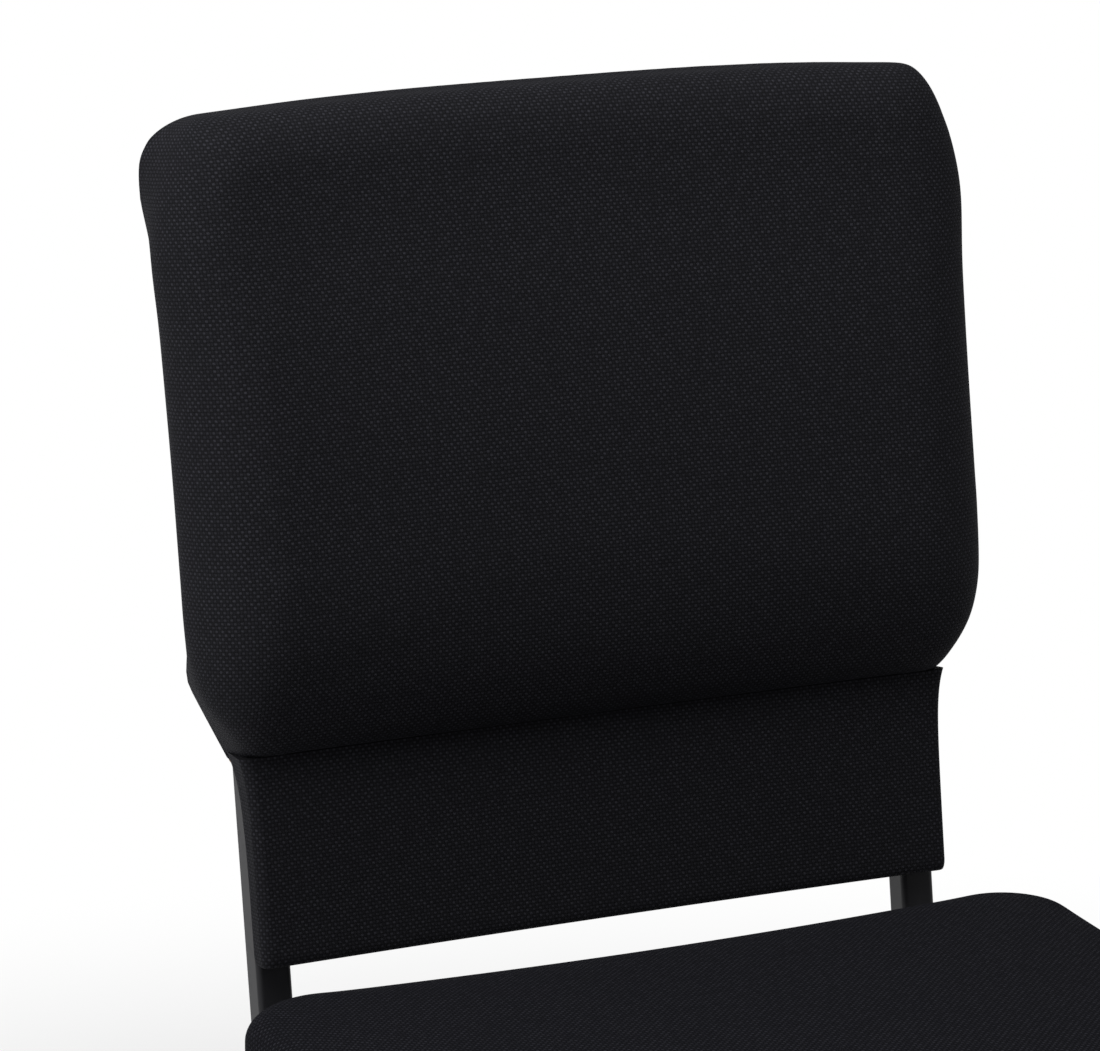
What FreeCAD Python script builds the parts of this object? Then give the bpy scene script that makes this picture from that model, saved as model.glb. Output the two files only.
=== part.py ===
"""Choir chair: a padded seat and a tall padded back on a frame of bent square steel tube.

Millimetres and degrees. The chair faces -Y, +Z is up, and the origin lies on the floor under
the middle of the chair. Three frames are used: the room, the seat frame, which is pitched up
towards the front, and the back frame, which leans back with the uprights. In the back frame
Y = 0 is the front face of the uprights and Z = 0 is the level of the seat's rear edge.
"""
import FreeCAD, Part
import math
import os

import PartDesign
import Sketcher
from FreeCAD import Placement, Rotation, Vector

DRIVING = {
    # square tube of the frame
    "tube_width": 19, "tube_wall": 1.5, "tube_corner": 3,
    # side frames
    "frame_width": 393, "recline": 9.6, "upright_top": 428, "bend_drop": 90,
    "rear_bend_radius": 110, "rear_splay": 20, "front_lean": 7, "front_bend_radius": 55,
    "rail_run": 385, "foot_height": 8,
    # seat
    "seat_base_height": 374, "seat_pitch": 2.5, "seat_width": 467, "seat_depth": 430,
    "seat_setback": 53, "seat_corner": 38, "seat_foam_height": 64, "rear_edge_drop": 17,
    "board_thickness": 12,
    "seat_undercut": 6, "seat_edge_pull": 9.5, "front_roll": 34, "side_roll": 16,
    "seat_crown": 6, "seat_hem": 26, "cover_thickness": 1, "cover_gap": 0.3, "board_margin": 12,
    # cross rails, seat screws and bumpers
    "rear_rail_setback": 105, "front_rail_setback": 372, "seat_screw_spacing": 280,
    "seat_screw_radius": 3, "screw_clearance": 0.3, "nut_fit": 0.05, "seat_head_radius": 6,
    "head_height": 3.2, "seat_nut_length": 9, "nut_barrel_radius": 4, "nut_flange_radius": 8,
    "nut_flange": 1.5,
    "bumper_length": 30, "bumper_wall": 3, "bumper_drop": 6, "bumper_rise": 9,
    "rear_bumper_setback": 150, "front_bumper_setback": 330, "bumper_fit": 0.15,
    # back
    "panel_bottom": 13, "seam_height": 124.5, "back_top": 457.5, "back_width": 443,
    "back_corner": 38, "lumbar_depth": 54, "upper_depth": 42, "top_edge_depth": 7,
    "front_corner": 30, "front_hollow": 9, "back_board_thickness": 10, "board_hollow": 5,
    "board_edge": 2, "board_top_drop": 14, "panel_pad_thickness": 4, "panel_corner": 6,
    # rear panel, as its cover's outline: it widens towards the top
    "foot_level": 116, "shoulder_level": 154, "shoulder_width": 426, "crown_width": 439,
    "shoulder_round": 45, "rear_panel_drop": 3, "rear_panel_thickness": 4,
    "brace_height": 25, "brace_thickness": 4,
    "upper_brace_level": 385, "lower_brace_level": 165,
    # back screws and panel clips, as levels above the seat's rear edge
    "low_screw_level": 60, "middle_screw_level": 215, "high_screw_level": 408,
    "back_screw_radius": 2.5, "back_head_radius": 4.8, "access_radius": 5.6,
    "back_nut_radius": 3.3, "back_nut_flange_radius": 6.3, "back_nut_length": 7,
    "nut_recess_depth": 2,
    "low_clip_level": 145, "middle_clip_level": 290, "high_clip_level": 365,
    "clip_hole_radius": 4, "clip_stem_radius": 2.8, "clip_barb": 0.9,
    "clip_head_radius": 7, "clip_head": 1.5, "clip_reach": 9,
    # floor glides
    "glide_lip": 1.5, "plug_length": 18, "plug_fit": 0.2,
}

WORKED = {
    "tube_bore": "tube_width - 2 * tube_wall",
    "bore_corner": "tube_corner - tube_wall",
    "half_tube": "tube_width / 2",
    "frame_half": "frame_width / 2",
    "tube_line": "(frame_width - tube_width) / 2",
    "rail_span": "frame_width - 2 * tube_width",
    "upright_run": "upright_top + bend_drop",
    "upright_turn": "recline + rear_splay",
    # level of the seat's rear edge, a little under its crown
    "back_reference": "seat_base_height + board_thickness + seat_foam_height - rear_edge_drop",
    "rear_leg_level": "back_reference - half_tube * sin(recline) - bend_drop * cos(recline)"
                      " - rear_bend_radius * (sin(recline) + sin(rear_splay))",
    "rear_leg_run": "(rear_leg_level - foot_height) / cos(rear_splay)",
    "rear_foot_y": "half_tube * cos(recline) - bend_drop * sin(recline)"
                   " + rear_bend_radius * (cos(recline) - cos(rear_splay))"
                   " + rear_leg_run * sin(rear_splay)",
    "face_tilt": "recline - seat_pitch",
    # where the uprights' front face crosses the rails' top, in the seat frame
    "rail_start": "(seat_base_height - back_reference) * sin(recline) / cos(face_tilt)"
                  " - cover_thickness * tan(face_tilt)",
    "rail_level": "0 - cover_thickness - half_tube",
    "leg_turn": "90 + seat_pitch - front_lean",
    "leg_bend_y": "rail_start - rail_run - front_bend_radius * sin(leg_turn)",
    "leg_bend_z": "rail_level - front_bend_radius * (1 - cos(leg_turn))",
    "front_leg_level": "seat_base_height - leg_bend_y * sin(seat_pitch)"
                       " + leg_bend_z * cos(seat_pitch)",
    "front_leg_run": "(front_leg_level - foot_height) / cos(front_lean)",
    "front_foot_y": "leg_bend_y * cos(seat_pitch) + leg_bend_z * sin(seat_pitch)"
                    " - front_leg_run * sin(front_lean)",
    "glide_half": "half_tube + glide_lip",
    "glide_width": "2 * glide_half",
    "plug_width": "tube_bore - 2 * plug_fit",
    "rear_reach": "rear_foot_y + foot_height * tan(rear_splay) + glide_half / cos(rear_splay)",
    "front_reach": "front_foot_y - foot_height * tan(front_lean) - glide_half / cos(front_lean)",
    "centre_shift": "0 - (rear_reach + front_reach) / 2",
    # boards
    "board_inset": "seat_undercut + cover_thickness + board_margin",
    "seat_board_width": "seat_width - 2 * board_inset",
    "seat_board_depth": "seat_depth - 2 * board_inset",
    "seat_board_corner": "seat_corner - board_inset",
    "seat_centre_y": "0 - seat_setback - seat_depth / 2",
    "half_screw_spacing": "seat_screw_spacing / 2",
    "seat_screw_hole": "seat_screw_radius + screw_clearance",
    "seat_nut_bore": "seat_screw_radius + nut_fit",
    "seat_nut_hole": "nut_barrel_radius + nut_fit",
    "seat_nut_recess": "nut_flange_radius + screw_clearance",
    "back_board_half": "frame_half - board_edge",
    "back_board_bottom": "panel_bottom + cover_thickness",
    "back_board_top": "back_top - board_top_drop",
    "back_board_corner": "back_corner - board_top_drop",
    "back_screw_hole": "back_screw_radius + screw_clearance",
    "back_nut_bore": "back_screw_radius + nut_fit",
    "back_nut_hole": "back_nut_radius + nut_fit",
    "back_nut_recess": "back_nut_flange_radius + screw_clearance",
    # the rear panel's outline is smaller all round than its cover's
    "wrap_shoulder": "shoulder_width / 2",
    "wrap_crown": "crown_width / 2",
    "wrap_top": "back_top - cover_thickness - rear_panel_drop",
    "panel_foot": "frame_half - cover_thickness",
    "panel_foot_level": "foot_level + cover_thickness",
    "panel_shoulder": "wrap_shoulder - cover_thickness",
    "panel_crown": "wrap_crown - cover_thickness",
    "panel_top": "wrap_top - cover_thickness",
    "panel_round": "back_corner - cover_thickness",
    "panel_shoulder_round": "shoulder_round - cover_thickness",
    "rear_wrap_depth": "rear_panel_thickness + cover_thickness",
    "clip_counterbore": "clip_head_radius + screw_clearance",
    "bumper_width": "tube_width + 2 * (bumper_wall + bumper_fit)",
    "channel_width": "tube_width + 2 * bumper_fit",
}

document = FreeCAD.newDocument("choir_chair")
sheet = document.addObject("Spreadsheet::Sheet", "Sizes")
for row, (alias, content) in enumerate(DRIVING.items(), start=1):
    sheet.set(f"A{row}", alias)
    sheet.set(f"B{row}", str(content))
    sheet.setAlias(f"B{row}", alias)
for row, (alias, formula) in enumerate(WORKED.items(), start=len(DRIVING) + 1):
    sheet.set(f"A{row}", alias)
    sheet.set(f"B{row}", "=" + formula)
    sheet.setAlias(f"B{row}", alias)
document.recompute()


def size(alias):
    return float(getattr(sheet, alias))


# frames of the seat and the back, in the room
X_AXIS, Y_AXIS, Z_AXIS = Vector(1, 0, 0), Vector(0, 1, 0), Vector(0, 0, 1)
ROOM = Placement(Vector(0, size("centre_shift"), 0), Rotation())
SEAT = Placement(
    Vector(0, size("centre_shift"), size("seat_base_height")), Rotation(X_AXIS, -size("seat_pitch"))
)
BACK = Placement(
    Vector(0, size("centre_shift"), size("back_reference")), Rotation(X_AXIS, -size("recline"))
)
SIDES = {"left": -1, "right": 1}
kept = []


def at(frame, x, y, z):
    return frame.multiply(Placement(Vector(x, y, z), Rotation()))


def keep(item, label, placement=None):
    """Name a finished sub-part, put it in its place and list it for export."""
    item.Label = label
    if placement is not None:
        item.Placement = placement
    kept.append(item)
    return item


# sketch helpers: every dimension is bound to a cell of the sheet

def new_body(name):
    return document.addObject("PartDesign::Body", name)


def new_sketch(body, name, role):
    sketch = body.newObject("Sketcher::SketchObject", name)
    plane = next(item for item in body.Origin.OriginFeatures if item.Role == role)
    sketch.AttachmentSupport = [(plane, "")]
    sketch.MapMode = "FlatFace"
    return sketch


def bind(sketch, alias, kind, *where, unit=""):
    """Add a dimension whose value is a cell."""
    value = math.radians(size(alias)) if unit else size(alias)
    index = sketch.addConstraint(Sketcher.Constraint(kind, *where, value))
    sketch.setExpression(f"Constraints[{index}]", f"Sizes.{alias}{unit}")


def rounded_rectangle(sketch, width, height, corner, centre_y=None):
    """Rounded rectangle from cells, on the origin or centred at centre_y on the vertical axis."""
    half_x, half_y, radius = size(width) / 2, size(height) / 2, size(corner)
    middle = size(centre_y) if centre_y else 0
    arcs, ends = [], []
    for across, up, start in ((1, -1, -90), (1, 1, 0), (-1, 1, 90), (-1, -1, 180)):
        centre = Vector(across * (half_x - radius), middle + up * (half_y - radius), 0)
        first, last = math.radians(start), math.radians(start + 90)
        circle = Part.Circle(centre, Z_AXIS, radius)
        arcs.append(sketch.addGeometry(Part.ArcOfCircle(circle, first, last)))
        ends.append([centre + Vector(math.cos(t), math.sin(t), 0) * radius for t in (first, last)])
    lines = [
        sketch.addGeometry(Part.LineSegment(ends[i][1], ends[(i + 1) % 4][0])) for i in range(4)
    ]
    for i in range(4):
        sketch.addConstraint(Sketcher.Constraint("Tangent", arcs[i], 2, lines[i], 1))
        sketch.addConstraint(Sketcher.Constraint("Tangent", lines[i], 2, arcs[(i + 1) % 4], 1))
        sketch.addConstraint(Sketcher.Constraint("Horizontal" if i % 2 else "Vertical", lines[i]))
    for i in (1, 2, 3):
        sketch.addConstraint(Sketcher.Constraint("Equal", arcs[0], arcs[i]))
    bind(sketch, corner, "Radius", arcs[0])
    bind(sketch, width, "DistanceX", lines[2], 1, lines[0], 1)
    bind(sketch, height, "DistanceY", lines[3], 1, lines[1], 1)
    if centre_y:
        anchor = sketch.addGeometry(Part.Point(Vector(0, middle, 0)), True)
        sketch.addConstraint(Sketcher.Constraint("PointOnObject", anchor, 1, -2))
        bind(sketch, centre_y, "DistanceY", -1, 1, anchor, 1)
        sketch.addConstraint(Sketcher.Constraint("Symmetric", arcs[0], 3, arcs[2], 3, anchor, 1))
    else:
        sketch.addConstraint(Sketcher.Constraint("Symmetric", arcs[0], 3, arcs[2], 3, -1, 1))


def circle_at(sketch, radius, x=None, y=None):
    """Circle from cells; x or y left out puts its centre on that axis, a minus sign mirrors it."""
    centre = Vector(0, 0, 0)
    for axis, alias in enumerate((x, y)):
        if alias:
            sign = -1 if alias.startswith("-") else 1
            centre[axis] = sign * size(alias.lstrip("-"))
    index = sketch.addGeometry(Part.Circle(centre, Z_AXIS, size(radius)))
    bind(sketch, radius, "Radius", index)
    for kind, alias, axis in (("DistanceX", x, -2), ("DistanceY", y, -1)):
        if not alias:
            sketch.addConstraint(Sketcher.Constraint("PointOnObject", index, 3, axis))
        elif alias.startswith("-"):
            bind(sketch, alias[1:], kind, index, 3, -1, 1)
        else:
            bind(sketch, alias, kind, -1, 1, index, 3)


def bent_path(sketch, first_run, radius, turn, second_run, heading):
    """A run from the origin, a tangent bend and a second run; heading is the first direction."""
    start = math.radians(heading)
    along = Vector(math.cos(start), math.sin(start), 0)
    across = Vector(-along.y, along.x, 0)
    bend, angle = size(radius), math.radians(size(turn))
    first_end = along * size(first_run)
    centre = first_end + across * bend
    arc_start = start - math.pi / 2
    circle = Part.Circle(centre, Z_AXIS, bend)
    bend_end = centre + Vector(math.cos(arc_start + angle), math.sin(arc_start + angle), 0) * bend
    leaving = Vector(math.cos(start + angle), math.sin(start + angle), 0)
    first = sketch.addGeometry(Part.LineSegment(Vector(0, 0, 0), first_end))
    arc = sketch.addGeometry(Part.ArcOfCircle(circle, arc_start, arc_start + angle))
    second = sketch.addGeometry(Part.LineSegment(bend_end, bend_end + leaving * size(second_run)))
    sketch.addConstraint(Sketcher.Constraint("Coincident", first, 1, -1, 1))
    sketch.addConstraint(
        Sketcher.Constraint("Horizontal" if abs(along.x) > abs(along.y) else "Vertical", first)
    )
    sketch.addConstraint(Sketcher.Constraint("Tangent", first, 2, arc, 1))
    sketch.addConstraint(Sketcher.Constraint("Tangent", arc, 2, second, 1))
    bind(sketch, first_run, "Distance", first)
    bind(sketch, radius, "Radius", arc)
    bind(sketch, turn, "Angle", arc, unit=" * 1 deg")
    bind(sketch, second_run, "Distance", second)


def square_tube_profile(body, role):
    profile = new_sketch(body, "profile", role)
    rounded_rectangle(profile, "tube_width", "tube_width", "tube_corner")
    rounded_rectangle(profile, "tube_bore", "tube_bore", "bore_corner")
    return profile


def bent_tube(body, path, profile):
    document.recompute()
    pipe = body.newObject("PartDesign::AdditivePipe", "bent_tube")
    pipe.Profile = profile
    pipe.Spine = path
    return pipe


def pad(body, sketch, length, both_ways=False):
    feature = body.newObject("PartDesign::Pad", "pad")
    feature.Profile = sketch
    feature.Midplane = both_ways
    feature.setExpression("Length", f"Sizes.{length}")
    return feature


def pocket(body, sketch, length=None, reverse=False):
    """Cut a sketch out of a body, all the way through both ways unless a length is given."""
    document.recompute()
    before = body.Shape.Volume
    feature = body.newObject("PartDesign::Pocket", "pocket")
    feature.Profile = sketch
    if length:
        feature.Reversed = reverse
        feature.setExpression("Length", f"Sizes.{length}")
    else:
        feature.Type = "ThroughAll"
        feature.Midplane = True
    document.recompute()
    if before - body.Shape.Volume < 1e-3:
        raise ValueError(f"{body.Label}: a pocket cuts nothing")
    return feature


# frame

def add_upright(side):
    """Rear leg and back upright, one tube; its body starts at the tube's top end."""
    body = new_body(f"{side}_upright")
    path = new_sketch(body, "path", "YZ_Plane")
    bent_path(path, "upright_run", "rear_bend_radius", "upright_turn", "rear_leg_run", -90)
    bent_tube(body, path, square_tube_profile(body, "XY_Plane"))
    through = new_sketch(body, "screw_holes", "XZ_Plane")
    rear_wall = new_sketch(body, "access_and_clip_holes", "XZ_Plane")
    for alias in ("low_screw", "middle_screw", "high_screw"):
        circle_at(through, "back_screw_hole", y=f"-{alias}_drop")
        circle_at(rear_wall, "access_radius", y=f"-{alias}_drop")
    for alias in ("low_clip", "middle_clip", "high_clip"):
        circle_at(rear_wall, "clip_hole_radius", y=f"-{alias}_drop")
    pocket(body, through, "half_tube", reverse=True)
    pocket(body, rear_wall, "half_tube")
    x = SIDES[side] * size("tube_line")
    keep(body, f"{side}_upright", at(BACK, x, size("half_tube"), size("upright_top")))


def add_front_leg(side):
    """Side rail and front leg, one tube, with its rear end cut to the upright's front face."""
    body = new_body(f"{side}_rail_and_leg")
    path = new_sketch(body, "path", "YZ_Plane")
    bent_path(path, "rail_run", "front_bend_radius", "leg_turn", "front_leg_run", 180)
    bent_tube(body, path, square_tube_profile(body, "XZ_Plane"))
    x = SIDES[side] * size("tube_line")
    body.Placement = at(SEAT, x, size("rail_start"), size("rail_level"))
    block = document.addObject("Part::Box", f"{side}_face_block")
    block.setExpression("Length", "Sizes.tube_width * 2")
    block.setExpression("Width", "Sizes.tube_width * 2")
    block.setExpression("Height", "Sizes.bend_drop * 2")
    block.Placement = at(BACK, x - size("tube_width"), 0, -2 * size("bend_drop"))
    trimmed = document.addObject("Part::Cut", f"{side}_front_leg")
    trimmed.Base = body
    trimmed.Tool = block
    keep(trimmed, f"{side}_front_leg")


def add_cross_rail(name, setback):
    body = new_body(name)
    pad(body, square_tube_profile(body, "YZ_Plane"), "rail_span", both_ways=True)
    holes = new_sketch(body, "screw_holes", "XY_Plane")
    circle_at(holes, "seat_screw_hole", x="half_screw_spacing")
    circle_at(holes, "seat_screw_hole", x="-half_screw_spacing")
    pocket(body, holes)
    keep(body, name, at(SEAT, 0, -size(setback), size("rail_level")))


def add_back_brace(name, level):
    brace = document.addObject("Part::Box", name)
    brace.setExpression("Length", "Sizes.rail_span")
    brace.setExpression("Width", "Sizes.brace_thickness")
    brace.setExpression("Height", "Sizes.brace_height")
    rear = size("tube_width") - size("tube_corner") - size("brace_thickness")
    low = size(level) - size("brace_height") / 2
    keep(brace, name, at(BACK, -size("rail_span") / 2, rear, low))


def add_glide(name, side, foot_y, tilt):
    """Nylon foot: a plug in the tube's bore and a base that is cut level at the floor."""
    body = new_body(f"{name}_block")
    plug = new_sketch(body, "plug", "XY_Plane")
    rounded_rectangle(plug, "plug_width", "plug_width", "bore_corner")
    pad(body, plug, "plug_length")
    base = new_sketch(body, "base", "XY_Plane")
    rounded_rectangle(base, "glide_width", "glide_width", "tube_corner")
    pad(body, base, "glide_width").Reversed = True
    x = SIDES[side] * size("tube_line")
    centre = Placement(Vector(x, foot_y, size("foot_height")), Rotation(X_AXIS, tilt))
    body.Placement = ROOM.multiply(centre)
    floor = document.addObject("Part::Box", f"{name}_floor")
    for side_name in ("Length", "Width", "Height"):
        floor.setExpression(side_name, "Sizes.glide_width * 3")
    reach = 3 * size("glide_width")
    floor.Placement = at(ROOM, x - reach / 2, foot_y - reach / 2, -reach)
    glide = document.addObject("Part::Cut", name)
    glide.Base = body
    glide.Tool = floor
    keep(glide, name)


def add_stack_bumpers():
    """Four saddles under the side rails, on which a stacked chair's rails rest."""
    half, drop, rise = size("bumper_width") / 2, size("bumper_drop"), size("bumper_rise")
    channel = size("channel_width") / 2
    outline = [(-half, rise), (-half, 0), (-half + drop / 2, -drop), (half - drop / 2, -drop),
               (half, 0), (half, rise), (channel, rise), (channel, 0), (-channel, 0),
               (-channel, rise), (-half, rise)]
    face = Part.Face(Part.makePolygon([Vector(x, 0, z) for x, z in outline]))
    saddle = face.extrude(Vector(0, size("bumper_length"), 0))
    rail_bottom = size("rail_level") - size("half_tube")
    copies = []
    for sign in SIDES.values():
        for setback in ("rear_bumper_setback", "front_bumper_setback"):
            rear = -size(setback) - size("bumper_length") / 2
            place = at(SEAT, sign * size("tube_line"), rear, rail_bottom)
            copies.append(saddle.transformed(place.toMatrix()))
    keep(document.addObject("Part::Feature", "stack_bumpers"), "stack_bumpers")
    kept[-1].Shape = Part.makeCompound(copies)


# fasteners

def turned(points, placement):
    """Solid of revolution about Z from (radius, height) points."""
    face = Part.Face(Part.makePolygon([Vector(r, 0, z) for r, z in points + points[:1]]))
    solid = face.revolve(Vector(0, 0, 0), Z_AXIS, 360)
    return solid.transformed(placement.toMatrix())


def screw(radius, head_radius, length, placement):
    """Pan head screw: the head lies below Z = 0 and the shank stands up from it."""
    head = size("head_height")
    points = [(0, -head), (head_radius * 0.6, -head), (head_radius * 0.9, -head * 0.7),
              (head_radius, -head * 0.3), (head_radius, 0), (radius, 0), (radius, length - 1),
              (radius - 1, length), (0, length)]
    return turned(points, placement)


def tee_nut(bore, barrel, flange_radius, length, placement):
    """T-nut: the flange's top is at Z = 0 and the barrel hangs below it."""
    flange = size("nut_flange")
    points = [(bore, 0), (flange_radius, 0), (flange_radius, -flange), (barrel, -flange),
              (barrel, -length), (bore, -length)]
    return turned(points, placement)


def clip(placement):
    """Barbed push-in clip: the head lies above Z = 0 and the stem points down."""
    stem, barb, reach = size("clip_stem_radius"), size("clip_barb"), size("clip_reach")
    start = size("rear_panel_thickness") - size("clip_head") + size("tube_wall")
    pitch = (reach - start) / 3
    points = [(0, size("clip_head")), (size("clip_head_radius"), size("clip_head")),
              (size("clip_head_radius"), 0), (stem, 0), (stem, -start)]
    for step in range(3):
        top = -start - step * pitch
        points += [(stem + barb, top), (stem, top - pitch)]
    points.append((0, -start - 3 * pitch))
    return turned(points, placement)


def add_group(name, solids):
    group = document.addObject("Part::Feature", name)
    group.Shape = Part.makeCompound(solids)
    keep(group, name)


def add_seat_fasteners():
    rails = ("rear_rail_setback", "front_rail_setback")
    spots = [(sign * size("half_screw_spacing"), -size(rail))
             for rail in rails for sign in (-1, 1)]
    rail_bottom = size("rail_level") - size("half_tube")
    length = size("board_thickness") - rail_bottom - size("nut_flange")
    barrel = size("seat_nut_length")
    screws = [screw(size("seat_screw_radius"), size("seat_head_radius"), length,
                    at(SEAT, x, y, rail_bottom)) for x, y in spots]
    nuts = [tee_nut(size("seat_nut_bore"), size("nut_barrel_radius"), size("nut_flange_radius"),
                    barrel, at(SEAT, x, y, size("board_thickness"))) for x, y in spots]
    add_group("seat_screws", screws)
    add_group("seat_tee_nuts", nuts)


def board_front(x):
    """Y of the back board's front face at x, in the back frame."""
    return board_face(x) - size("back_board_thickness")


def board_face(x):
    """Y of the back board's rear face at x: an arc that touches the cover on the uprights."""
    radius = hollow_radius()
    inner = size("rail_span") / 2 + size("tube_corner")
    return -size("cover_thickness") + (inner ** 2 - x ** 2) / (2 * radius)


def hollow_radius():
    """Radius of the back board's curve in plan."""
    half, hollow = size("frame_half"), size("board_hollow")
    return (half ** 2 + hollow ** 2) / (2 * hollow)


def add_back_fasteners():
    facing_front = Rotation(X_AXIS, 90)
    facing_rear = Rotation(X_AXIS, -90)
    wall, line = size("tube_wall"), size("tube_line")
    front = board_front(line)
    screws, nuts, clips = [], [], []
    for sign in SIDES.values():
        for level in ("low_screw_level", "middle_screw_level", "high_screw_level"):
            x, z = sign * line, size(level)
            length = wall - front - size("nut_recess_depth")
            seat = BACK.multiply(Placement(Vector(x, wall, z), facing_front))
            screws.append(screw(size("back_screw_radius"), size("back_head_radius"), length, seat))
            flange_top = front + size("nut_recess_depth") - size("nut_flange")
            seat = BACK.multiply(Placement(Vector(x, flange_top, z), facing_front))
            nuts.append(tee_nut(size("back_nut_bore"), size("back_nut_radius"),
                                size("back_nut_flange_radius"), size("back_nut_length"), seat))
        for level in ("low_clip_level", "middle_clip_level", "high_clip_level"):
            shoulder = size("tube_width") + size("rear_panel_thickness") - size("clip_head")
            seat = Placement(Vector(sign * line, shoulder, size(level)), facing_rear)
            clips.append(clip(BACK.multiply(seat)))
    add_group("back_screws", screws)
    add_group("back_tee_nuts", nuts)
    add_group("panel_clips", clips)


# seat

def cushion_wire(height, inset, front_inset):
    """Level outline of the seat cushion, with its edges drawn in between the corners."""
    half = size("seat_width") / 2 - inset
    rear = -size("seat_setback") - inset
    front = -size("seat_setback") - size("seat_depth") + front_inset
    # corners tighten over the rolled edge and open again over the crown
    roll = size("side_roll")
    corner = size("seat_corner") - 0.5 * min(inset, roll) + 0.4 * max(inset - roll, 0)
    pull = size("seat_edge_pull")
    share = 1 - math.sqrt(0.5)
    corners = []
    for across, end_y, inward in ((-1, rear, -1), (1, rear, -1), (1, front, 1), (-1, front, 1)):
        side = Vector(across * half, end_y + inward * corner, height)
        middle = Vector(across * (half - corner * share), end_y + inward * corner * share, height)
        end = Vector(across * (half - corner), end_y, height)
        # the wire runs clockwise seen from above
        corners.append((side, middle, end) if across * inward > 0 else (end, middle, side))
    middle_y = (rear + front) / 2
    edge_middles = [Vector(0, rear - pull, height), Vector(half - pull / 3, middle_y, height),
                    Vector(0, front - pull, height), Vector(-half + pull / 3, middle_y, height)]
    edges = []
    for index, (start, middle, end) in enumerate(corners):
        edges.append(Part.Arc(start, middle, end).toShape())
        following = corners[(index + 1) % 4][0]
        edges.append(Part.Arc(end, edge_middles[index], following).toShape())
    return Part.Wire(edges)


def cushion_envelope(bottom, inset):
    """Crowned cushion from the height bottom up, with its skin moved in by inset."""
    top = size("board_thickness") + size("seat_foam_height")
    undercut, side, front = size("seat_undercut"), size("side_roll"), size("front_roll")
    crown = size("seat_crown")
    # height, inset at the sides and rear, inset at the front
    levels = [(bottom, undercut, undercut), (top * 0.12, undercut * 0.5, undercut * 0.5),
              (top * 0.4, 0, 0), (top - side * 1.3, 0, front * 0.08)]
    for turn in (20, 40, 60, 75):
        bend = math.radians(turn)
        levels.append((top - side * (1 - math.sin(bend)), side * (1 - math.cos(bend)),
                       front * (1.1 - math.cos(bend))))
    # the crown's rows lie inside the edges by shares of the seat's width and depth
    width, depth = size("seat_width"), size("seat_depth")
    levels += [(top + crown * rise, width * across, depth * along)
               for rise, across, along in ((0.25, 0.055, 0.127), (0.6, 0.117, 0.206), (1, 0.24, 0.332))]
    wires = []
    for height, all_round, at_front in levels:
        level = height if height == bottom else height - inset * height / top
        wires.append(cushion_wire(level, all_round + inset, at_front + inset))
    return Part.makeLoft(wires, True, True)


def add_seat():
    cover, gap = size("cover_thickness"), size("cover_gap")
    thickness = size("board_thickness")
    outer = cushion_envelope(-cover, 0)
    inner = cushion_envelope(0, cover)
    window = cushion_wire(-2 * cover, size("seat_undercut") + size("seat_hem"),
                          size("seat_undercut") + size("seat_hem"))
    opening = Part.Face(window).extrude(Vector(0, 0, 3 * cover))
    seat_cover = document.addObject("Part::Feature", "seat_cover")
    seat_cover.Shape = outer.cut(inner).cut(opening)
    keep(seat_cover, "seat_cover", SEAT)

    foam = cushion_envelope(0, cover + gap)
    below = Part.makeBox(2 * size("seat_width"), 2 * size("seat_depth"), 2 * thickness,
                         Vector(-size("seat_width"), -2 * size("seat_depth"), -thickness))
    seat_foam = document.addObject("Part::Feature", "seat_foam")
    seat_foam.Shape = foam.cut(below)
    keep(seat_foam, "seat_foam", SEAT)

    hem = size("seat_undercut") + size("seat_hem") + cover
    sheet_face = Part.Face(cushion_wire(-cover, hem, hem))
    screw_hole = size("seat_screw_hole")
    dust_sheet = sheet_face.extrude(Vector(0, 0, cover))
    for rail in ("rear_rail_setback", "front_rail_setback"):
        for sign in (-1, 1):
            hole = Part.makeCylinder(screw_hole, 4 * cover,
                                     Vector(sign * size("half_screw_spacing"), -size(rail), -2 * cover))
            dust_sheet = dust_sheet.cut(hole)
    dust_cover = document.addObject("Part::Feature", "seat_dust_cover")
    dust_cover.Shape = dust_sheet
    keep(dust_cover, "seat_dust_cover", SEAT)


def add_seat_board():
    body = new_body("seat_board")
    outline = new_sketch(body, "outline", "XY_Plane")
    rounded_rectangle(outline, "seat_board_width", "seat_board_depth", "seat_board_corner",
                      centre_y="seat_centre_y")
    pad(body, outline, "board_thickness")
    barrels = new_sketch(body, "nut_holes", "XY_Plane")
    for x in ("half_screw_spacing", "-half_screw_spacing"):
        for rail in ("rear_rail_setback", "front_rail_setback"):
            circle_at(barrels, "seat_nut_hole", x=x, y=f"-{rail}")
    pocket(body, barrels)
    recess = new_sketch(body, "flange_recesses", "XY_Plane")
    recess.setExpression("AttachmentOffset.Base.z", "Sizes.board_thickness")
    for x in ("half_screw_spacing", "-half_screw_spacing"):
        for rail in ("rear_rail_setback", "front_rail_setback"):
            circle_at(recess, "seat_nut_recess", x=x, y=f"-{rail}")
    pocket(body, recess, "nut_flange")
    keep(body, "seat_board", SEAT)


# back

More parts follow.
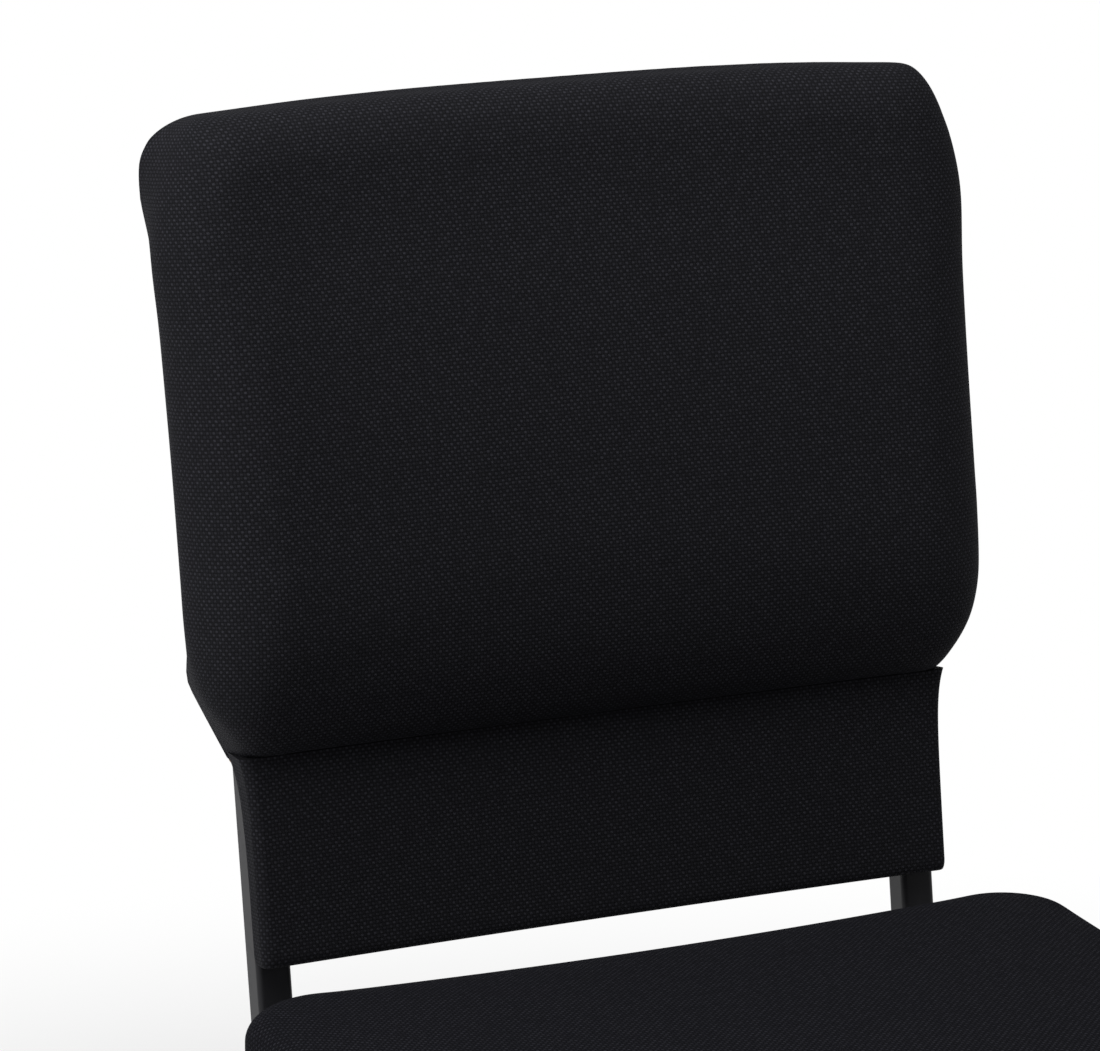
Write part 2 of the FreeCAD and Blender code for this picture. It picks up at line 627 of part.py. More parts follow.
def strip_wire(height, half, front_offset, rear_offset, corner):
    """Level section of a strip that follows the back board, from front_offset to rear_offset.

    Offsets are measured behind the board's rear face, so a strip in front has negative ones.
    """
    def arc(offset, reach):
        ends = [Vector(sign * reach, board_face(reach) + offset, height) for sign in (-1, 1)]
        return Part.Arc(ends[0], Vector(0, board_face(0) + offset, height), ends[1]).toShape(), ends
    front, front_ends = arc(front_offset, half - corner)
    rear, rear_ends = arc(rear_offset, half)
    edges = [front, rear]
    for sign, front_end, rear_end in zip((-1, 1), front_ends, rear_ends):
        side_start = Vector(sign * half, front_end.y + corner, height)
        shoulder = Vector(sign * (half - corner * (1 - math.sqrt(0.5))),
                          front_end.y + corner * (1 - math.sqrt(0.5)), height)
        edges.append(Part.Arc(front_end, shoulder, side_start).toShape())
        edges.append(Part.LineSegment(side_start, rear_end).toShape())
    return Part.Wire(Part.__sortEdges__(edges))


def strip(bottom, top, half, front_offset, rear_offset, corner):
    face = Part.Face(strip_wire(bottom, half, front_offset, rear_offset, corner))
    return face.extrude(Vector(0, 0, top - bottom))


def screw_bores(radius, levels, start, end):
    """Bores from Y = start to Y = end on the line of each upright."""
    return [Part.makeCylinder(radius, end - start,
                              Vector(sign * size("tube_line"), start, size(level)), Y_AXIS)
            for sign in SIDES.values() for level in levels]


def add_back_board():
    """Curved plywood board, full height, with rounded top corners and T-nut holes."""
    thickness, half = size("back_board_thickness"), size("back_board_half")
    low, top = size("back_board_bottom"), size("back_board_top")
    corner = size("back_board_corner")
    curved = strip(low - thickness, top + thickness, half + thickness, -thickness, 0, 1)
    shoulder = corner * (1 - math.sqrt(0.5))
    reach = 4 * thickness
    spots = {sign: [Vector(sign * half, -reach, low), Vector(sign * half, -reach, top - corner),
                    Vector(sign * (half - shoulder), -reach, top - shoulder),
                    Vector(sign * (half - corner), -reach, top)] for sign in (-1, 1)}
    left, right = spots[-1], spots[1]
    outline = Part.Wire([
        Part.LineSegment(left[0], right[0]).toShape(),
        Part.LineSegment(right[0], right[1]).toShape(),
        Part.Arc(right[1], right[2], right[3]).toShape(),
        Part.LineSegment(right[3], left[3]).toShape(),
        Part.Arc(left[3], left[2], left[1]).toShape(),
        Part.LineSegment(left[1], left[0]).toShape(),
    ])
    board = curved.common(Part.Face(outline).extrude(Vector(0, 2 * reach, 0)))
    levels = ("low_screw_level", "middle_screw_level", "high_screw_level")
    recess_floor = board_front(size("tube_line")) + size("nut_recess_depth")
    holes = screw_bores(size("back_nut_hole"), levels, -reach, reach)
    holes += screw_bores(size("back_nut_recess"), levels, -reach, recess_floor)
    back_board = document.addObject("Part::Feature", "back_board")
    back_board.Shape = board.cut(holes)
    keep(back_board, "back_board", BACK)


def add_lower_panel():
    """Thin padded panel on the lower part of the back board, in its sleeve of fabric."""
    cover, board, padding = (size(name) for name in
                             ("cover_thickness", "back_board_thickness", "panel_pad_thickness"))
    gap, half = size("cover_gap"), size("back_board_half")
    low, seam, corner = size("panel_bottom"), size("seam_height"), size("panel_corner")
    panel_pad = document.addObject("Part::Feature", "panel_pad")
    panel_pad.Shape = strip(low + cover, seam - gap, half, -board - padding, -board, padding / 2)
    keep(panel_pad, "panel_pad", BACK)
    front = -board - padding - gap - cover
    outer = strip(low, seam, size("frame_half"), front, cover, corner)
    inner = strip(low + cover, seam + cover, half + gap, -board - padding - gap, 0,
                  corner - cover)
    behind = screw_bores(size("back_screw_hole"), ("low_screw_level",), -board / 2, 2 * board)
    sleeve = outer.cut(inner).cut(behind)
    panel_cover = document.addObject("Part::Feature", "panel_cover")
    panel_cover.Shape = sleeve
    keep(panel_cover, "panel_cover", BACK)


def back_wire(height, rear_half, front_half, depth, corner, rear, hollow):
    """Level section of the back cushion: flat rear, straight sides, round and hollow front."""
    bend = corner * math.sqrt(0.5)
    front_line = -(depth - corner)
    points = {}
    for sign in (-1, 1):
        points[sign] = [
            Vector(sign * rear_half, rear, height),
            Vector(sign * front_half, front_line, height),
            Vector(sign * (front_half - corner + bend), front_line - bend, height),
            Vector(sign * (front_half - corner), -depth, height),
        ]
    left, right = points[-1], points[1]
    return Part.Wire([
        Part.LineSegment(left[0], right[0]).toShape(),
        Part.LineSegment(right[0], right[1]).toShape(),
        Part.Arc(right[1], right[2], right[3]).toShape(),
        Part.Arc(right[3], Vector(0, -depth + hollow, height), left[3]).toShape(),
        Part.Arc(left[3], left[2], left[1]).toShape(),
        Part.LineSegment(left[1], left[0]).toShape(),
    ])


def rear_half_width(level):
    """Half width of the rear panel's cover at a level between the seam and the round corners."""
    shoulder, crown = size("wrap_shoulder"), size("wrap_crown")
    low, bend, top = size("seam_height"), size("shoulder_level"), size("back_top")
    if level >= bend:
        return shoulder + (crown - shoulder) * (level - bend) / (top - bend)
    return shoulder - (shoulder - size("frame_half") - 1) * (bend - level) / (bend - low)


def back_envelope(inset, rear):
    """The back cushion's form: swollen at the small of the back, thinner towards the top."""
    seam, top, corner = size("seam_height"), size("back_top"), size("back_corner")
    side, lumbar, upper = size("back_width") / 2, size("lumbar_depth"), size("upper_depth")
    bend, hollow = size("front_corner"), size("front_hollow")
    rows = []
    # rise above the seam, how far side and front lie inside the fullest section, corner radius
    for rise, narrow, shallow, radius in (
            (0, 23, 36, bend * 0.3), (4, 20, 28, bend * 0.4), (10, 16, 22, bend * 0.55),
            (20, 11, 15.5, bend * 0.7), (32, 6.5, 9.5, bend * 0.85), (50, 2.5, 4, bend * 0.95),
            (70, 0.5, 1, bend), (92, 0, 0, bend)):
        level = seam + rise
        rows.append((level, rear_half_width(level), side - narrow, lumbar - shallow, radius,
                     hollow * (0.3 + 0.7 * (1 - shallow / 36))))
    # share of the way up to the round corners, side, and share of the change in depth
    start, stop = seam + 92, top - corner
    for share, narrow, thin in ((0.33, 0.5, 0.15), (0.6, 0, 0.45), (0.82, -0.5, 0.8), (1, 0, 1)):
        level = start + (stop - start) * share
        rows.append((level, rear_half_width(level), side - narrow,
                     lumbar - (lumbar - upper) * thin, bend, hollow))
    edge = size("top_edge_depth")
    for turn in (25, 45, 62, 78, 90):
        angle = math.radians(turn)
        narrow = corner * (1 - math.cos(angle))
        full = math.cos(angle)
        rows.append((stop + corner * math.sin(angle), rear_half_width(stop) - narrow,
                     side - narrow, edge + (upper - edge) * full ** 0.6,
                     bend * (0.2 + 0.8 * full), hollow * (0.3 + 0.7 * full)))
    wires = []
    span = rows[-1][0] - rows[0][0]
    for height, rear_half, front_half, depth, radius, dish in rows:
        level = height + inset - 2 * inset * (height - rows[0][0]) / span
        wires.append(back_wire(level, rear_half - inset, front_half - inset, depth - inset,
                               max(radius - inset, 1), rear, dish))
    return Part.makeLoft(wires, True, True)


def add_back_cushion():
    cover, gap, tube = size("cover_thickness"), size("cover_gap"), size("tube_width")
    seam, top = size("seam_height"), size("back_board_top")
    clear = 3 * cover
    board_room = strip(seam - clear, top + gap, size("frame_half") + gap,
                       -size("back_board_thickness") - gap, 2 * tube, 1)
    outer = back_envelope(0, tube)
    inner = back_envelope(cover, tube + clear)
    back_cover = document.addObject("Part::Feature", "back_cover")
    back_cover.Shape = outer.cut(inner).cut(board_room)
    keep(back_cover, "back_cover", BACK)

    core = back_envelope(cover + gap, tube)
    back_foam = document.addObject("Part::Feature", "back_foam")
    back_foam.Shape = core.cut(board_room)
    keep(back_foam, "back_foam", BACK)


def filleted_outline(sketch, corners):
    """Closed outline through named corners, each (sign, x cell, y cell, radius cell or None)."""
    spots = [Vector(sign * size(x), size(y), 0) for sign, x, y, _ in corners]
    count = len(corners)
    trims = []
    for i, (_, _, _, radius) in enumerate(corners):
        back = (spots[i - 1] - spots[i]).normalize()
        ahead = (spots[(i + 1) % count] - spots[i]).normalize()
        half_angle = back.getAngle(ahead) / 2
        trim = size(radius) / math.tan(half_angle) if radius else 0
        trims.append((back * trim + spots[i], ahead * trim + spots[i], back, ahead, half_angle))
    anchors, lines, arcs = [], [], {}
    for spot in spots:
        anchors.append(sketch.addGeometry(Part.Point(spot), True))
    for i in range(count):
        end = trims[(i + 1) % count][0]
        lines.append(sketch.addGeometry(Part.LineSegment(trims[i][1], end)))
    for i, (_, _, _, radius) in enumerate(corners):
        if radius:
            arrive, leave, back, ahead, half_angle = trims[i]
            inward = (back + ahead).normalize()
            middle = spots[i] + inward * (size(radius) / math.sin(half_angle) - size(radius))
            arcs[i] = sketch.addGeometry(Part.Arc(arrive, middle, leave))
    for i, (sign, x, y, radius) in enumerate(corners):
        if sign > 0:
            bind(sketch, x, "DistanceX", -1, 1, anchors[i], 1)
        else:
            bind(sketch, x, "DistanceX", anchors[i], 1, -1, 1)
        bind(sketch, y, "DistanceY", -1, 1, anchors[i], 1)
        if not radius:
            sketch.addConstraint(Sketcher.Constraint("Coincident", lines[i - 1], 2, anchors[i], 1))
            sketch.addConstraint(Sketcher.Constraint("Coincident", lines[i], 1, anchors[i], 1))
            continue
        sketch.addConstraint(Sketcher.Constraint("PointOnObject", anchors[i], 1, lines[i - 1]))
        sketch.addConstraint(Sketcher.Constraint("PointOnObject", anchors[i], 1, lines[i]))
        arrive_end = 1 if touches(sketch, arcs[i], trims[i][0]) else 2
        sketch.addConstraint(
            Sketcher.Constraint("Tangent", lines[i - 1], 2, arcs[i], arrive_end))
        sketch.addConstraint(
            Sketcher.Constraint("Tangent", lines[i], 1, arcs[i], 3 - arrive_end))
        bind(sketch, radius, "Radius", arcs[i])


def touches(sketch, index, spot):
    """Whether an arc's first end lies at the spot."""
    return sketch.getPoint(index, 1).distanceToPoint(spot) < 1e-6


def rear_outline(sketch, foot, foot_level, shoulder, crown, top, low_round, top_round):
    """Rear panel's outline: a narrow foot, slanted shoulders and sides that widen upwards."""
    right = [(1, foot, foot_level, None), (1, shoulder, "shoulder_level", low_round),
             (1, crown, top, top_round)]
    left = [(-1, x, y, radius) for _, x, y, radius in reversed(right)]
    filleted_outline(sketch, right + left)


def add_rear_panel():
    """Flat panel that closes the back behind the uprights, and the fabric wrapped round it."""
    own = ("panel_foot", "panel_foot_level", "panel_shoulder", "panel_crown", "panel_top",
           "panel_shoulder_round", "panel_round")
    panel = new_body("rear_panel")
    outline = new_sketch(panel, "outline", "XZ_Plane")
    rear_outline(outline, *own)
    pad(panel, outline, "rear_panel_thickness").Reversed = True
    holes = new_sketch(panel, "clip_holes", "XZ_Plane")
    heads = new_sketch(panel, "clip_heads", "XZ_Plane")
    heads.setExpression("AttachmentOffset.Base.z", "-Sizes.rear_panel_thickness")
    for x in ("tube_line", "-tube_line"):
        for level in ("low_clip_level", "middle_clip_level", "high_clip_level"):
            circle_at(holes, "clip_hole_radius", x=x, y=level)
            circle_at(heads, "clip_counterbore", x=x, y=level)
    pocket(panel, holes)
    pocket(panel, heads, "clip_head", reverse=True)
    keep(panel, "rear_panel", at(BACK, 0, size("tube_width"), 0))

    wrap = new_body("rear_panel_cover")
    outside = new_sketch(wrap, "outside", "XZ_Plane")
    rear_outline(outside, "frame_half", "foot_level", "wrap_shoulder", "wrap_crown", "wrap_top",
                 "shoulder_round", "back_corner")
    pad(wrap, outside, "rear_wrap_depth").Reversed = True
    inside = new_sketch(wrap, "inside", "XZ_Plane")
    rear_outline(inside, *own)
    pocket(wrap, inside, "rear_panel_thickness")
    keep(wrap, "rear_panel_cover", at(BACK, 0, size("tube_width"), 0))


# levels of the back's holes, measured down from the uprights' top ends
for row, hole in enumerate(("low_screw", "middle_screw", "high_screw", "low_clip", "middle_clip",
                            "high_clip"), start=len(DRIVING) + len(WORKED) + 1):
    sheet.set(f"A{row}", f"{hole}_drop")
    sheet.set(f"B{row}", f"=upright_top - {hole}_level")
    sheet.setAlias(f"B{row}", f"{hole}_drop")
document.recompute()

for side_name in SIDES:
    add_upright(side_name)
    add_front_leg(side_name)
    add_glide(f"rear_{side_name}_glide", side_name, size("rear_foot_y"), size("rear_splay"))
    add_glide(f"front_{side_name}_glide", side_name, size("front_foot_y"), -size("front_lean"))
add_cross_rail("front_cross_rail", "front_rail_setback")
add_cross_rail("rear_cross_rail", "rear_rail_setback")
add_back_brace("upper_back_brace", "upper_brace_level")
add_back_brace("lower_back_brace", "lower_brace_level")
add_stack_bumpers()
add_seat_board()
add_seat()
add_seat_fasteners()
add_back_board()
add_lower_panel()
add_back_cushion()
add_rear_panel()
add_back_fasteners()
document.recompute()

for item in document.Objects:
    if "Invalid" in item.State or "Error" in item.State:
        raise ValueError(f"{item.Label} failed: {item.State}")
for item in kept:
    if item.Shape.isNull() or not item.Shape.isValid():
        raise ValueError(f"{item.Label} has no valid shape")

os.makedirs("parts", exist_ok=True)
for item in kept:
    item.Shape.exportStep(os.path.join("parts", f"{item.Label}.step"))
    box = item.Shape.BoundBox
    print(f"{item.Label}: {len(item.Shape.Solids)} solid, {item.Shape.Volume / 1000:.1f} cm3,"
          f" x {box.XMin:.1f} {box.XMax:.1f} y {box.YMin:.1f} {box.YMax:.1f}"
          f" z {box.ZMin:.1f} {box.ZMax:.1f}")
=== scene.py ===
"""Looks of a choir chair: black woven upholstery over foam, on a black square-tube frame.

The chair's own sizes are in metres. Points of the back are given in the back's own directions,
which lean with the uprights, and points of the seat in the seat's, which slope with its rails.
"""
import math

import bmesh
import bpy
from bpy.props import FloatProperty, FloatVectorProperty, PointerProperty
from bpy.types import Operator, Panel, PropertyGroup
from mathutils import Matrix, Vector


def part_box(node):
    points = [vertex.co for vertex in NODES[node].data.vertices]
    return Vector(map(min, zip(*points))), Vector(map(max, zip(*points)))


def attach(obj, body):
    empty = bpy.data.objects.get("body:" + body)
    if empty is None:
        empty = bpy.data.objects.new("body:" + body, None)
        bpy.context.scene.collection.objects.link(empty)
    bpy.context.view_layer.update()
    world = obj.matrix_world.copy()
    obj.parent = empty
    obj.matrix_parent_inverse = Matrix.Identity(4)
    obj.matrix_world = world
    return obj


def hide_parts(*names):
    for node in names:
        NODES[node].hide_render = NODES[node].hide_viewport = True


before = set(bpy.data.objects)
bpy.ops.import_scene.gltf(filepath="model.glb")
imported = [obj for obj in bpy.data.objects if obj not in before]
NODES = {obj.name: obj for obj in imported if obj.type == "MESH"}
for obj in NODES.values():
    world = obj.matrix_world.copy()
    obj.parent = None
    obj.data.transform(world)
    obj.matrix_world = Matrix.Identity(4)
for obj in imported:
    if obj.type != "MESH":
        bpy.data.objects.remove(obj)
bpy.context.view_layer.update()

bl_info = {
    "name": "Choir chair looks",
    "version": (1, 0, 0),
    "blender": (4, 5, 0),
    "location": "3D View > Sidebar > Chair",
    "description": "Upholstery, frame finish, boards, fittings and stage of a choir chair",
    "category": "Object",
}

MM = 0.001

# the view that the photograph was taken from
PHOTO_WIDTH = 1100
FOCAL_PIXELS = 4818
SENSOR = 36.0
VIEW_AZIMUTH = math.radians(22.55)
VIEW_ELEVATION = math.radians(16.0)
VIEW_DISTANCE = 2.502
VIEW_AIM = Vector((-0.0324, 0.194254, 0.6661))

# name, place, aim, width and power
LAMPS = (("overhead", (-0.4, -0.25, 2.2), (0, 0.15, 0.6), 1.5, 37),
         ("left_side", (-2.4, 0.1, 1.5), (0, 0.2, 0.6), 1.4, 30),
         ("front", (0.2, -3.0, 2.0), (0, 0.2, 0.6), 1.8, 6))
WHITE = (1, 1, 1, 1)
SKY_FILL = 0.27
FLOOR_SIZE = 24.0
FLOOR_FADE = (0.6, 1.5)

# how softly two limits of a half width meet
SHOULDER_BLEND = 1.6 * MM
CORNER_BLEND = 4 * MM

SWELL_PRESSURE = 4.0
SWELL_STEPS = 20


def length(name, millimetres, description):
    return FloatProperty(name=name, default=millimetres * MM, min=0.0, unit="LENGTH",
                         precision=4, description=description)


def tilt(name, degrees, description):
    return FloatProperty(name=name, default=math.radians(degrees), subtype="ANGLE",
                         description=description)


def colour(name, default, description):
    return FloatVectorProperty(name=name, default=default, size=3, min=0.0, max=1.0,
                               subtype="COLOR", description=description)


def half_width(node):
    """Half the width of a CAD node, in millimetres."""
    low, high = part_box(node)
    return (high[0] - low[0]) / 2 / MM


class ChairSizes(PropertyGroup):
    """Sizes of the chair's upholstery, given in millimetres and kept in metres."""
    reference_depth: length("Uprights' face", 194.254, "Place of the seat line on the uprights")
    seat_line: length("Seat line", 433, "Height where the back starts")
    seat_base: length("Seat base", 374, "Height of the seat board there")
    recline: tilt("Recline", 9.6, "Lean of the uprights")
    pitch: tilt("Seat pitch", 2.5, "Slope of the seat")
    tube: length("Tube", 19, "Width of the square tube")
    frame_half: length("Half frame", half_width("panel_cover"), "Half the width of the frame")
    cover: length("Cover", 1, "Thickness of the fabric and its backing")
    gap: length("Clearance", 0.3, "Room between fabric and what it covers")
    # back
    seam: length("Seam", 124.5, "Height of the seam under the cushion")
    back_top: length("Back top", 457.5, "Height of the back over the seat line")
    back_half: length("Half back", half_width("back_cover"), "Half width of the back cushion")
    back_corner: length("Back corner", 38, "Radius of the back's top corners")
    lumbar: length("Lumbar depth", 54, "Depth at the small of the back")
    taper_start: length("Taper start", 380, "Height where the front draws in")
    top_taper: length("Top taper", 21, "How far the front draws in at the top")
    corner_room: length("Corner room", 8, "How far front may pass rear at the top")
    shoulder_fill: length("Shoulder fill", 1.8, "How far it fills out below that")
    fill_reach: length("Fill reach", 25, "How far up and down that reaches")
    upper: length("Upper depth", 42, "Depth at the shoulders")
    top_edge: length("Top edge", 7, "Depth at the top edge")
    bolster: length("Bolster", 43, "Radius of the cushion's front corners")
    bolster_room: length("Bolster room", 4.2, "Half width that round corners need")
    hollow: length("Hollow", 9, "How far the back's middle lies behind its sides")
    rear_low: length("Rear half, low", 214.2, "Half width over the shoulders")
    rear_high: length("Rear half, high", 219.5, "Half width at the top")
    rear_drop: length("Rear drop", 3.7, "How far the rear cover ends under the top")
    rear_flat: length("Rear flat", 181.5, "Half width of its straight top edge")
    rear_round: length("Rear round", 38.3, "Height of its top corners")
    rear_inset: length("Rear inset", 0.8, "How far it lies inside the edge")
    rear_foot: length("Rear foot", 116, "Height of the rear's lower edge")
    rear_shoulder: length("Rear shoulder", 162, "Height of the rear's low corners")
    shoulder_ear: length("Shoulder ear", 3.2, "How far those corners stick out")
    shoulder_reach: length("Shoulder reach", 16, "How far up that push reaches")
    arch_rise: length("Arch rise", 0.6, "Rise of the top edge in its middle")
    arch_drop: length("Arch drop", 5.8, "Drop of the top edge towards its corners")
    arch_reach: length("Arch reach", 90, "How far down the arch starts")
    rear_corner: length("Rear corner", 25, "Height of the rear's top corners")
    rear_corner_width: length("Rear corner width", 32, "Width of the rear's top corners")
    ear: length("Ear", 4.3, "How far fabric gathers out at the top corners")
    ear_level: length("Ear height", 420, "Height of that gather")
    ear_reach: length("Ear reach", 26, "How far up and down that reaches")
    flap: length("Flap", 4.5, "Fabric turned to the rear panel's front")
    board: length("Back board", 10, "Thickness of the back board")
    board_hollow: length("Board hollow", 5, "Curve of the back board")
    board_top: length("Board top", 443.5, "Height of the back board")
    back_swell: length("Back swell", 0.5, "How far foam may fill the fabric out")
    swell_end: length("Swell end", 440, "Height where that ends")
    swell_fade: length("Swell fade", 70, "How far below that it starts to fade")
    # lower panel
    panel_bottom: length("Panel bottom", 13, "Height of the panel's bottom edge")
    panel_pad: length("Panel pad", 4, "Thickness of the panel's pad")
    flare: length("Flare", 4.9, "How far the fabric widens at the seam")
    flare_reach: length("Flare reach", 14, "How fast that widening fades")
    panel_corner: length("Panel corner", 6, "Radius of the panel's edges")
    # seat
    seat_half: length("Half seat", half_width("seat_cover"), "Half the width of the seat")
    seat_depth: length("Seat depth", 430, "Depth of the seat")
    seat_setback: length("Seat setback", 53, "From the uprights to the seat's rear")
    seat_corner: length("Seat corner", 38, "Radius of the seat's corners")
    seat_pull: length("Edge pull", 9.5, "How far the rear edge is drawn in")
    seat_height: length("Seat height", 76, "Board and foam together")
    seat_undercut: length("Undercut", 6, "How far the seat's foot lies inside")
    side_roll: length("Side roll", 16, "Roll of the seat's sides and rear")
    front_roll: length("Front roll", 34, "Roll of the seat's front edge")
    crown: length("Crown", 6, "Rise of the seat's middle")
    hem: length("Hem", 26, "Fabric turned under the seat board")
    seat_swell: length("Seat swell", 0.8, "How far foam may fill the fabric out")
    seat_board: length("Seat board", 12, "Thickness of the seat board")
    board_inset: length("Board inset", 19, "From the seat's side to its board")
    # cloth
    warp: length("Warp", 1.81, "Distance between upright yarns")
    weft: length("Weft", 1.95, "Distance between level yarns")


class ChairColours(PropertyGroup):
    """Colours of the chair's materials."""
    # The two yarn colours hold painted light: the crowns' colour a painted highlight, the
    # hollows' colour painted shade between the yarns.
    yarn_lit_crown: colour("Yarn, top", (0.024, 0.024, 0.0295), "Crowns of the yarns")
    yarn_shaded_hollow: colour("Yarn, shade", (0.0038, 0.0038, 0.0047), "Hollows between the yarns")
    coat: colour("Powder coat", (0.0118, 0.0118, 0.0136), "Coating of the frame")
    veneer: colour("Veneer", (0.50, 0.33, 0.17), "Light plies")
    veneer_dark: colour("Veneer, dark", (0.30, 0.17, 0.08), "Dark plies and grain")
    hardboard: colour("Hardboard", (0.16, 0.085, 0.04), "Rear panel")
    nylon: colour("Nylon", (0.016, 0.016, 0.017), "Glides, bumpers and clips")
    zinc: colour("Zinc", (0.62, 0.63, 0.64), "Screws and nuts")
    lining: colour("Lining", (0.018, 0.018, 0.02), "Dust cloth under the seat")
    floor: colour("Floor", (0.80, 0.80, 0.80), "Floor and backdrop")


def sizes():
    return bpy.context.scene.chair_sizes


def colours():
    return bpy.context.scene.chair_colours


# places on the leaning back and the sloping seat

def leaned(x, behind, up, base, lean):
    """Point in directions that lean, from a height on the uprights' front face."""
    return Vector((x, sizes().reference_depth + behind * math.cos(lean) + up * math.sin(lean),
                   base - behind * math.sin(lean) + up * math.cos(lean)))


def on_back(x, behind, up):
    """Point of the back: behind the uprights' front face, and up along them."""
    return leaned(x, behind, up, sizes().seat_line, sizes().recline)


def on_seat(x, y, z):
    """Point of the seat: y runs to the rear along its board, z up from the board's underside."""
    return leaned(x, y, z, sizes().seat_base, sizes().pitch)


# outlines

def arched(x, level):
    """Level on the back with the top edge's slight arch added."""
    s = sizes()
    share = max(0.0, (level - s.back_top + s.arch_reach) / s.arch_reach) ** 2
    return level + share * (s.arch_rise - s.arch_drop * (abs(x) / s.rear_high) ** 3)


def pocket_arched(x, level):
    """The same for the room behind the cushion: it has the arch only over the back board."""
    s = sizes()
    foot = s.board_top + 2 * MM
    share = min(max((level - foot) / (s.back_top - foot), 0.0), 1.0)
    return level + (arched(x, level) - level) * share


def eased(table, at):
    """Values of a table at a place between its rows, on a smooth curve through them."""
    places = [row[0] for row in table]
    at = min(max(at, places[0]), places[-1])
    i = max(k for k in range(len(places) - 1) if places[k] <= at)
    span = places[i + 1] - places[i]
    t = (at - places[i]) / span

    def slope(k, column):
        low, high = max(k - 1, 0), min(k + 1, len(table) - 1)
        return (table[high][column] - table[low][column]) / (places[high] - places[low])

    values = []
    for column in range(1, len(table[0])):
        start, end = table[i][column], table[i + 1][column]
        rise, fall = slope(i, column) * span, slope(i + 1, column) * span
        values.append(start * (2 * t ** 3 - 3 * t ** 2 + 1) + rise * (t ** 3 - 2 * t ** 2 + t)
                      + end * (3 * t ** 2 - 2 * t ** 3) + fall * (t ** 3 - t ** 2))
    return values


def arc(centre, radius, start, end, steps=12):
    """Points of an arc between two angles in degrees."""
    turns = [math.radians(start + (end - start) * k / steps) for k in range(steps + 1)]
    return [(centre[0] + radius * math.cos(turn), centre[1] + radius * math.sin(turn))
            for turn in turns]


def run(start, end, steps=12):
    """Points of a straight line."""
    return [tuple(a + (b - a) * k / steps for a, b in zip(start, end)) for k in range(steps + 1)]


def inner_places(half, steps):
    """Places across from -half to half, without the ends."""
    return [-half + 2 * half * k / steps for k in range(1, steps)]


def mirrored(path):
    """The path on the other side of the chair, running on from the first one."""
    return [(-x, y) for x, y in reversed(path)]


def distances(path):
    """How far along the path each of its points lies."""
    travelled = [0.0]
    for a, b in zip(path, path[1:]):
        travelled.append(travelled[-1] + math.dist(a, b))
    return travelled


def spread(path, count, closed=False):
    """The path with count points at even distances."""
    if closed:
        path = path + path[:1]
    travelled = distances(path)
    spots, i = [], 0
    for k in range(count):
        target = travelled[-1] * k / (count if closed else count - 1)
        while i < len(path) - 2 and travelled[i + 1] < target:
            i += 1
        step = travelled[i + 1] - travelled[i]
        t = (target - travelled[i]) / step if step else 0.0
        spots.append(tuple(a + (b - a) * t for a, b in zip(path[i], path[i + 1])))
    return spots


def softened(path, passes):
    """The path with its corners eased and its ends kept."""
    for _ in range(passes):
        moved = [tuple((a + 2 * b + c) / 4 for a, b, c in zip(*near))
                 for near in zip(path, path[1:], path[2:])]
        path = path[:1] + moved + path[-1:]
    return path


# meshes

def ring_piece(name, rings, first_cap=True):
    """Piece through rings of (place, place on the cloth), capped at its ends."""
    count = len(rings[0])
    spots = [spot for ring in rings for spot, _ in ring]
    cloth = [flat for ring in rings for _, flat in ring]
    faces = []
    for i in range(len(rings) - 1):
        for j in range(count):
            k = (j + 1) % count
            faces.append((i * count + j, i * count + k, (i + 1) * count + k, (i + 1) * count + j))
    if first_cap:
        faces.append(tuple(reversed(range(count))))
    last = (len(rings) - 1) * count
    faces.append(tuple(last + j for j in range(count)))
    mesh = bpy.data.meshes.new(name)
    mesh.from_pydata(spots, [], faces)
    laid = mesh.uv_layers.new(name="cloth")
    for loop in mesh.loops:
        laid.data[loop.index].uv = cloth[loop.vertex_index]
    shape = bmesh.new()
    shape.from_mesh(mesh)
    wide = [face for face in shape.faces if len(face.verts) > 4]
    bmesh.ops.triangulate(shape, faces=wide, ngon_method="EAR_CLIP")
    bmesh.ops.recalc_face_normals(shape, faces=shape.faces)
    for face in shape.faces:
        face.smooth = True
    shape.to_mesh(mesh)
    shape.free()
    piece = bpy.data.objects.new(name, mesh)
    bpy.context.scene.collection.objects.link(piece)
    return piece


def swell(piece, held, caps):
    """Fills a cushion from inside, as its foam does, and caps how far each point moves."""
    scene = bpy.context.scene
    rest = [vertex.co.copy() for vertex in piece.data.vertices]
    group = piece.vertex_groups.new(name="held")
    group.add(held, 1.0, "REPLACE")
    cloth = piece.modifiers.new("Cloth", "CLOTH")
    settings = cloth.settings
    settings.quality = 5
    settings.mass = 0.3
    settings.tension_stiffness = settings.compression_stiffness = 15
    settings.shear_stiffness = 8
    settings.bending_stiffness = 2
    settings.use_pressure = True
    settings.uniform_pressure_force = SWELL_PRESSURE
    settings.vertex_group_mass = group.name
    settings.effector_weights.gravity = 0
    for step in range(1, SWELL_STEPS + 1):
        scene.frame_set(step)
    shaped = piece.evaluated_get(bpy.context.evaluated_depsgraph_get()).to_mesh()
    moved = [vertex.co.copy() for vertex in shaped.vertices]
    piece.modifiers.remove(cloth)
    for vertex, before, after, cap in zip(piece.data.vertices, rest, moved, caps):
        step = after - before
        if step.length > cap:
            step *= cap / step.length
        vertex.co = before + step
    piece.vertex_groups.remove(group)
    scene.frame_set(1)


def apply_modifier(piece, modifier):
    bpy.ops.object.select_all(action="DESELECT")
    bpy.context.view_layer.objects.active = piece
    piece.select_set(True)
    bpy.ops.object.modifier_apply(modifier=modifier.name)


def refine(piece):
    """Subdivides a finished piece once."""
    finer = piece.modifiers.new("Subdivision", "SUBSURF")
    finer.levels = finer.render_levels = 1
    finer.uv_smooth = "PRESERVE_BOUNDARIES"
    apply_modifier(piece, finer)


